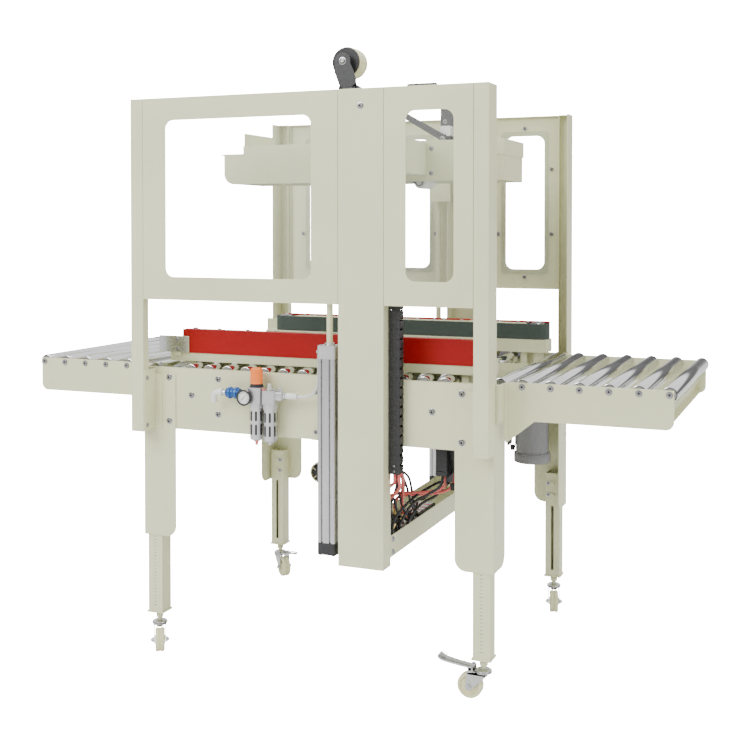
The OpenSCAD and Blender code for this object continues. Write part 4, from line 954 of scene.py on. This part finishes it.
control = Shape()
control.slab(roundRect(326.5, 359.5, -329.5, -200.5, 5), 544, 68, blackPlastic)
control.slab(roundRect(326, 360, -330, -200, 5), 532, 11, blackPlastic)
for x, y in ((338, -284), (350, -246), (338, -225), (350, -310)):
    control.lathe([(0, 7), (2, 7), (2.4, 6), (2.4, 4.1)], (x, y, 532.4), (0, 0, -1), zinc, 20)
for z in (552, 596):
    for y in (-322, -208):
        buttonBolt(control, (326.5, y, z), (-1, 0, 0), 5, False)
control.done("controlBox", "frame", ["control_box"], bevel=0.5)

# black signal cables that lie between the valves and the control box
cables = Shape()
for y0, lift, y1 in ((-362, 22, -225), (-316, 8, -300), (-270, -8, -240)):
    cables.tube(smoothRoute([(218, y0, 370), (224, y0 + 4, 384 + lift), (236, y0 + 10, 412 + lift),
        (262, (y0 + y1) / 2, 446 + lift), (300, y1 - 8, 470 + lift), (330, y1 - 2, 500),
        (338, y1, 532)]), 3.4, blackPlastic, 10)
cables.tube(smoothRoute([(176, -60, 374), (190, -90, 402), (214, -150, 424), (250, -210, 440), (290, -250, 470),
    (338, -264, 500), (344, -266, 533)]), 3.6, blackPlastic, 10)
cables.tube(smoothRoute([(250, -396, 546), (248, -388, 520), (232, -372, 486), (214, -352, 448), (210, -330, 420),
    (219, -316, 372)]), 3.2, blackPlastic, 10)
# spare loops of tube and cable that hang between the chain's end and the valves
loopSet = [((244, -392, 548), (236, -368, 500), (206, -352, 452), (176, -342, 440), (168, -330, 428), coralTube, 3.6),
    ((250, -388, 556), (244, -340, 520), (226, -290, 470), (206, -250, 420), (196, -220, 372), coralTube, 3.6),
    ((254, -384, 552), (240, -330, 500), (220, -280, 440), (208, -240, 404), (206, -196, 372), coralTube, 3.6),
    ((252, -380, 556), (236, -320, 520), (214, -270, 470), (196, -230, 430), (190, -180, 372), coralTube, 3.6),
    ((250, -384, 552), (248, -330, 530), (236, -270, 500), (222, -210, 440), (206, -150, 384), blackPlastic, 3.4),
    ((246, -376, 556), (240, -310, 500), (226, -240, 440), (214, -180, 400), (200, -120, 380), blackPlastic, 3.4),
    ((238, -372, 540), (222, -310, 470), (214, -250, 412), (196, -190, 392), (180, -110, 380), blackPlastic, 3.4),
    ((226, -356, 470), (214, -300, 420), (210, -240, 392), (204, -180, 372), (196, -112, 378), blackPlastic, 3.4)]
for *route, material, radius in loopSet:
    cables.tube(smoothRoute(route), radius, material, 10)
for x, y in ((196, -218), (206, -194), (190, -178), (206, -150), (178, -150)):
    cables.lathe([(0, 11), (16, 11), (17, 8), (28, 8), (29, 6), (38, 5)], (x, y, 336), zDir, castAlloy, 8)
for x, y, z0 in ((206, -262, 396), (216, -344, 392)):
    cables.lathe([(0, 5.2), (6, 5.2), (6, 4), (14, 4)], (x, y, z0), (0.4, 0.3, 0.8), brass, 20)
cables.done("signalCables", "frame", [], angle=60)
print("hoses and valves made")

# head
headSet = {"y": 95, "top": 1394}
nose = Shape()
# lead-in shoe: hemmed lips along the rolled sheet's open edges
nose.tube([(-424, -91, 1369.4), (-424, 91, 1369.4)], 1.7, creamPaint, 10)
for y in (-92, 92):
    nose.tube([(-382, y, 1283.6)] + [(-382 + 31.6 * math.cos(math.radians(a)), y,
        1315 + 31.6 * math.sin(math.radians(a))) for a in range(268, 178, -9)] + [(-413.6, y, 1368)], 1.1, creamPaint,
        10)
nose.tube([(-382, -91, 1284.2), (-382, 91, 1284.2)], 1.4, creamPaint, 10)
nose.done("headNose", "head", [], bevel=0.4)
headBolts = Shape()
for side in (-1, 1):
    y = side * headSet["y"]
    for x, z in ((232, 1305), (232, 1372), (60, 1372), (400, 1304)):
        buttonBolt(headBolts, (x, y, z), (0, side, 0), 10)
for x in (-330, -200, -100, 170, 300, 420):
    for y in (-84, 84):
        buttonBolt(headBolts, (x, y, headSet["top"]), zDir, 9)
headBolts.done("headBolts", "head", [])

# pivot heights, pivot places along X and the reach of the arms
tapeSet = {"topZ": 1345, "lowZ": 720, "applyX": -40, "buffX": 80, "reach": 100, "drop": 62}


# spring, tie rods and pivot caps kept in each cartridge
def cartridgeDetail(name, body, pivotZ, way):
    detail = Shape()
    for side in (-1, 1):
        y = side * 58
        for x in (-95, 135):
            hexHead(detail, (x, y, pivotZ + (26 if way > 0 else -30)), (0, side, 0), 12, 4)
        for x in (tapeSet["applyX"], tapeSet["buffX"]):
            detail.lathe([(0, 9), (2, 9), (2.4, 8), (2.4, 0)], (x, side * 60, pivotZ), (0, side, 0), zinc, 24)
    coil = []
    for k in range(160):
        a = math.tau * k / 10
        coil.append((-80 + k * 1.1, 30 + 4.5 * math.cos(a), pivotZ + way * 30 + 4.5 * math.sin(a)))
    detail.tube(coil, 0.9, zinc, 6)
    for x in (-86, 98):
        detail.tube([(x, 52, pivotZ + way * 30), (x, -52, pivotZ + way * 30)], 3.4, zinc, 16)
    detail.done(name, body, [], angle=50)


cartridgeDetail("topCartridgeDetail", "head", tapeSet["topZ"], 1)
cartridgeDetail("bottomCartridgeDetail", "frame", tapeSet["lowZ"], -1)


# tape arms: plates, rubber roller with a bright hub
def tapeArm(name, node, body, px, pz, dx, dz, rubber):
    shape = Shape()
    a = math.atan2(dz, dx)
    for side in (-1, 1):
        outline = []
        for k in range(13):
            t = a + math.pi / 2 + math.pi * k / 12
            outline.append((px + 14 * math.cos(t), pz + 14 * math.sin(t)))
        for k in range(13):
            t = a - math.pi / 2 + math.pi * k / 12
            outline.append((px + dx + 11 * math.cos(t), pz + dz + 11 * math.sin(t)))
        y = side * 46 if side > 0 else -49
        shape.sheet(outline, y + 3, 3, darkPaint)
        shape.lathe([(0, 8), (2, 8), (2.6, 7), (2.6, 0)], (px + dx, side * 49, pz + dz), (0, side, 0), zinc, 24)
    shape.lathe([(-60, 6), (60, 6)], (px, 0, pz), yDir, zinc, 20)
    shape.lathe([(-46, 12), (46, 12)], (px, 0, pz), yDir, zinc, 24)
    shape.lathe([(-46, 5), (46, 5)], (px + dx, 0, pz + dz), yDir, zinc, 16)
    profile = [(-43, 6), (-43, 16.8), (-42, 17.8)]
    for k in range(14):
        profile += [(-38 + 5.6 * k, 18), (-35.4 + 5.6 * k, 18), (-34.6 + 5.6 * k, 17.2), (-33.4 + 5.6 * k, 17.2)]
    profile += [(42, 17.8), (43, 16.8), (43, 6)]
    shape.lathe(profile, (px + dx, 0, pz + dz), yDir, rubber, 40)
    shape.done(name, body, [node], bevel=0.3, angle=30)


rubberBlack = paintMaterial("blackRubber", (0.02, 0.02, 0.021), (0.05, 0.05, 0.05), grain=700, depth=0.35, gloss=0.6,
    wear=0.4)
for level, z, way in (("top", tapeSet["topZ"], -1), ("bottom", tapeSet["lowZ"], 1)):
    for kind, x, end, cover in (("Apply", tapeSet["applyX"], -1, rubberBlack),
            ("Buff", tapeSet["buffX"], 1, whitePlastic)):
        body = level + "_" + kind.lower()
        tapeArm(level + kind + "Arm", body + "_arm", body, x, z, end * tapeSet["reach"], way * tapeSet["drop"], cover)
print("tape heads detailed")


# tape roll holders
# flange at y0, drum beyond it in the direction way
def rollHolder(name, node, body, x, z, y0, way, r, flange):
    shape = Shape()
    axis = (0, way, 0)
    inner = r - 4
    shape.lathe([(0, r - 22), (0, r - 4), (0.8, r - 3), (4.2, r - 3), (5, r - 4)], (x, y0, z), axis, flange, 56)
    shape.lathe([(-18, 6.1), (-18, 12), (-17, 13), (0.5, 13), (0.5, 6.1)], (x, y0, z), axis, flange, 28)
    for c, s in around(6):
        shape.plate([(10, -2.2), (inner, -2.2), (inner, 2.2), (10, 2.2)], (x, y0 + (0.2 if way > 0 else -2.8), z),
            (c, 0, s), (s, 0, -c), 2.6, flange)
    shape.lathe([(0.4, inner), (0.4, 12)], (x, y0, z), axis, flange, 40)
    # drum with ribs that grip the core
    shape.lathe([(5, r - 3), (5, r - 1.4), (6, r - 1), (58.6, r - 1), (60, r - 2), (60, r - 5), (12, r - 5), (12, 12),
        (58, 12.5), (60, 12), (60, 6.1)], (x, y0, z), axis, nylon, 64)
    for c, s in around(18):
        shape.lathe([(8, 0.9), (56, 0.9)], (x + (r - 0.9) * c, y0, z + (r - 0.9) * s), axis, nylon, 8)
    for c, s in around(5):
        lo, hi = sorted((y0 + way * 14, y0 + way * 58))
        shape.plate([(11, lo), (r - 4, lo), (r - 4, hi), (11, hi)], (x - s * 1.2, 0, z + c * 1.2), (c, 0, s), yDir,
            2.4, nylon)
    # black insert: it caps the hub bore, and the part set back inside the drum's open end is painted shade that makes
    # the gaps between the ribs read dark
    if way < 0:
        shape.lathe([(50, 6.1), (50, r - 8), (56, r - 7), (57, r - 9), (58, 14), (61.5, 12), (61.5, 6.1)], (x, y0, z),
            axis, blackPlastic, 40)
    shape.done(name, body, [node], bevel=0.4)


rollHolder("topRollHolder", "top_mandrel", "top_roll_holder", -55, 1632, -23, 1, 45, blackPlastic)
rollHolder("bottomRollHolder", "bottom_mandrel", "bottom_roll_holder", -140, 440, 38, -1, 31, nylon)

# reel bracket
bracketSet = {"rollX": -55, "rollZ": 1632, "foot": 1394}
rollX, rollZ, foot = bracketSet["rollX"], bracketSet["rollZ"], bracketSet["foot"]
bracket = Shape()
plateShape = [(-62, foot), (-11, foot), (-11, 1548)] + [(-14, 1580), (-24, 1610)] + arc(rollX, rollZ, 24, -15, 195,
    16) + [(-80, 1600), (-64, 1560)]
bracket.sheet(plateShape, -42, 3, darkPaint)
bracket.sheet([(-62, foot), (-59, foot), (-59, 1545), (-62, 1560)], -45, 12, darkPaint)
bracket.box(-62, -11, -65, -45, foot, 1397, darkPaint)
brace = [(-30, 1558), (-16, 1565), (250, 1414), (256, 1408), (256, foot), (240, foot), (236, 1400)]
bracket.sheet(brace, -42, 3, darkPaint)
bracket.box(-29, -17, -60, -45, 1556, 1559, darkPaint)
bracket.lathe([(-4, 6), (88, 6), (88.6, 5.4), (88.6, 0)], (rollX, -45, rollZ), yDir, zinc, 24)
buttonBolt(bracket, (rollX, -45, rollZ), (0, -1, 0), 15)
for x in (-50, -24):
    buttonBolt(bracket, (x, -57, 1397), zDir, 9)
for x, z in ((-22, 1552), (246, 1402)):
    buttonBolt(bracket, (x, -45, z), (0, -1, 0), 9)
hook = [(226, foot), (290, foot), (290, 1470), (213, 1563), (126, 1563), (126, 1556), (205, 1552), (226, 1490)]
bracket.sheet(hook, 1, 3, darkPaint)
bracket.sheet(roundRect(235, 265, 1410, 1438, 3), -2, 30, whitePlastic)
bracket.lathe([(0, 5), (0, 14), (1, 15), (9, 15), (10, 14), (10, 5)], (250, -31.8, 1411), yDir, blackPlastic, 32)
bracket.lathe([(-1, 0), (-1, 4), (12, 4)], (250, -31, 1411), yDir, zinc, 20)
for x in (240, 276):
    buttonBolt(bracket, (x, -2, 1452), (0, -1, 0), 8)
bracket.done("reelBracket", "head", ["reel_bracket"], bevel=0.4)
print("reel bracket made")

# stage
stageSet = {"floor": 30, "low": -0.0005, "floorColor": (0.86, 0.86, 0.85), "sky": 1.6, "backdrop": 24.0,
    "floorGlow": 24.0}
floorData = bpy.data.meshes.new("floor")
half, low = stageSet["floor"], stageSet["low"]
floorData.from_pydata([(-half, -half, low), (half, -half, low), (half, half, low), (-half, half, low)], [],
    [(0, 1, 2, 3)])
floor = bpy.data.objects.new("floor", floorData)
bpy.context.collection.objects.link(floor)
floorMaterial, floorTree, floorShader = startMaterial("paleFloor")
floorCoat = useGroup(floorTree, coatGroup, {"Color": (*stageSet["floorColor"], 1), "Grain": 40.0, "Depth": 0.0,
    "Mottle": 0.004, "Gloss": 0.8})
floorShader.inputs["Emission Color"].default_value = (1, 1, 1, 1)
seen = addNode(floorTree, "LightPath")
glow = addNode(floorTree, "Math", {1: stageSet["floorGlow"]}, operation="MULTIPLY")
wire(floorTree, (floorCoat, "Color", floorShader, "Base Color"), (floorCoat, "Roughness", floorShader, "Roughness"),
    (seen, "Is Camera Ray", glow, 0), (glow, 0, floorShader, "Emission Strength"))
floorData.materials.append(floorMaterial)

world = bpy.data.worlds.new("studio")
bpy.context.scene.world = world
world.use_nodes = True
sky = world.node_tree
path = addNode(sky, "LightPath")
way = addNode(sky, "TexCoord")
height = addNode(sky, "SeparateXYZ")
ramp = addNode(sky, "ValToRGB")
spread = addNode(sky, "MapRange", {"From Min": -1.0})
scaled = addNode(sky, "Math", {1: stageSet["sky"]}, operation="MULTIPLY")
stops = ramp.color_ramp.elements
stops[0].color = (0.4, 0.4, 0.4, 1)
stops[1].color = (1, 1, 1, 1)
for at, shade in ((0.49, 0.4), (0.52, 0.12), (0.60, 0.15), (0.64, 1.0)):
    stops.new(at).color = (shade, shade, shade, 1)
level = addNode(sky, "MapRange", {"To Max": stageSet["backdrop"]})
wire(sky, (way, "Generated", height, 0), (height, "Z", spread, "Value"),
    (spread, "Result", ramp, "Fac"), (ramp, "Color", scaled, 0), (scaled, 0, level, "To Min"))
background = sky.nodes["Background"]
background.inputs["Color"].default_value = (1, 1, 1, 1)
wire(sky, (path, "Is Camera Ray", level, "Value"), (level, "Result", background, "Strength"))


def softLight(name, place, target, size, power):
    data = bpy.data.lights.new(name, "AREA")
    data.shape = "RECTANGLE"
    data.size, data.size_y = size
    data.energy = power
    lamp = bpy.data.objects.new(name, data)
    lamp.location = place
    lamp.rotation_euler = (Vector(target) - Vector(place)).to_track_quat("-Z", "Y").to_euler()
    bpy.context.collection.objects.link(lamp)


softLight("keyLight", (-1.8, -3.6, 3.4), (0, 0, 0.8), (2.2, 2.2), 130)
softLight("sideLight", (3.6, -1.2, 2.2), (0, 0, 0.8), (1.2, 2.4), 24)
softLight("topLight", (0.2, 0.4, 4.2), (0, 0, 0.8), (2.4, 2.4), 80)
print("stage lit")
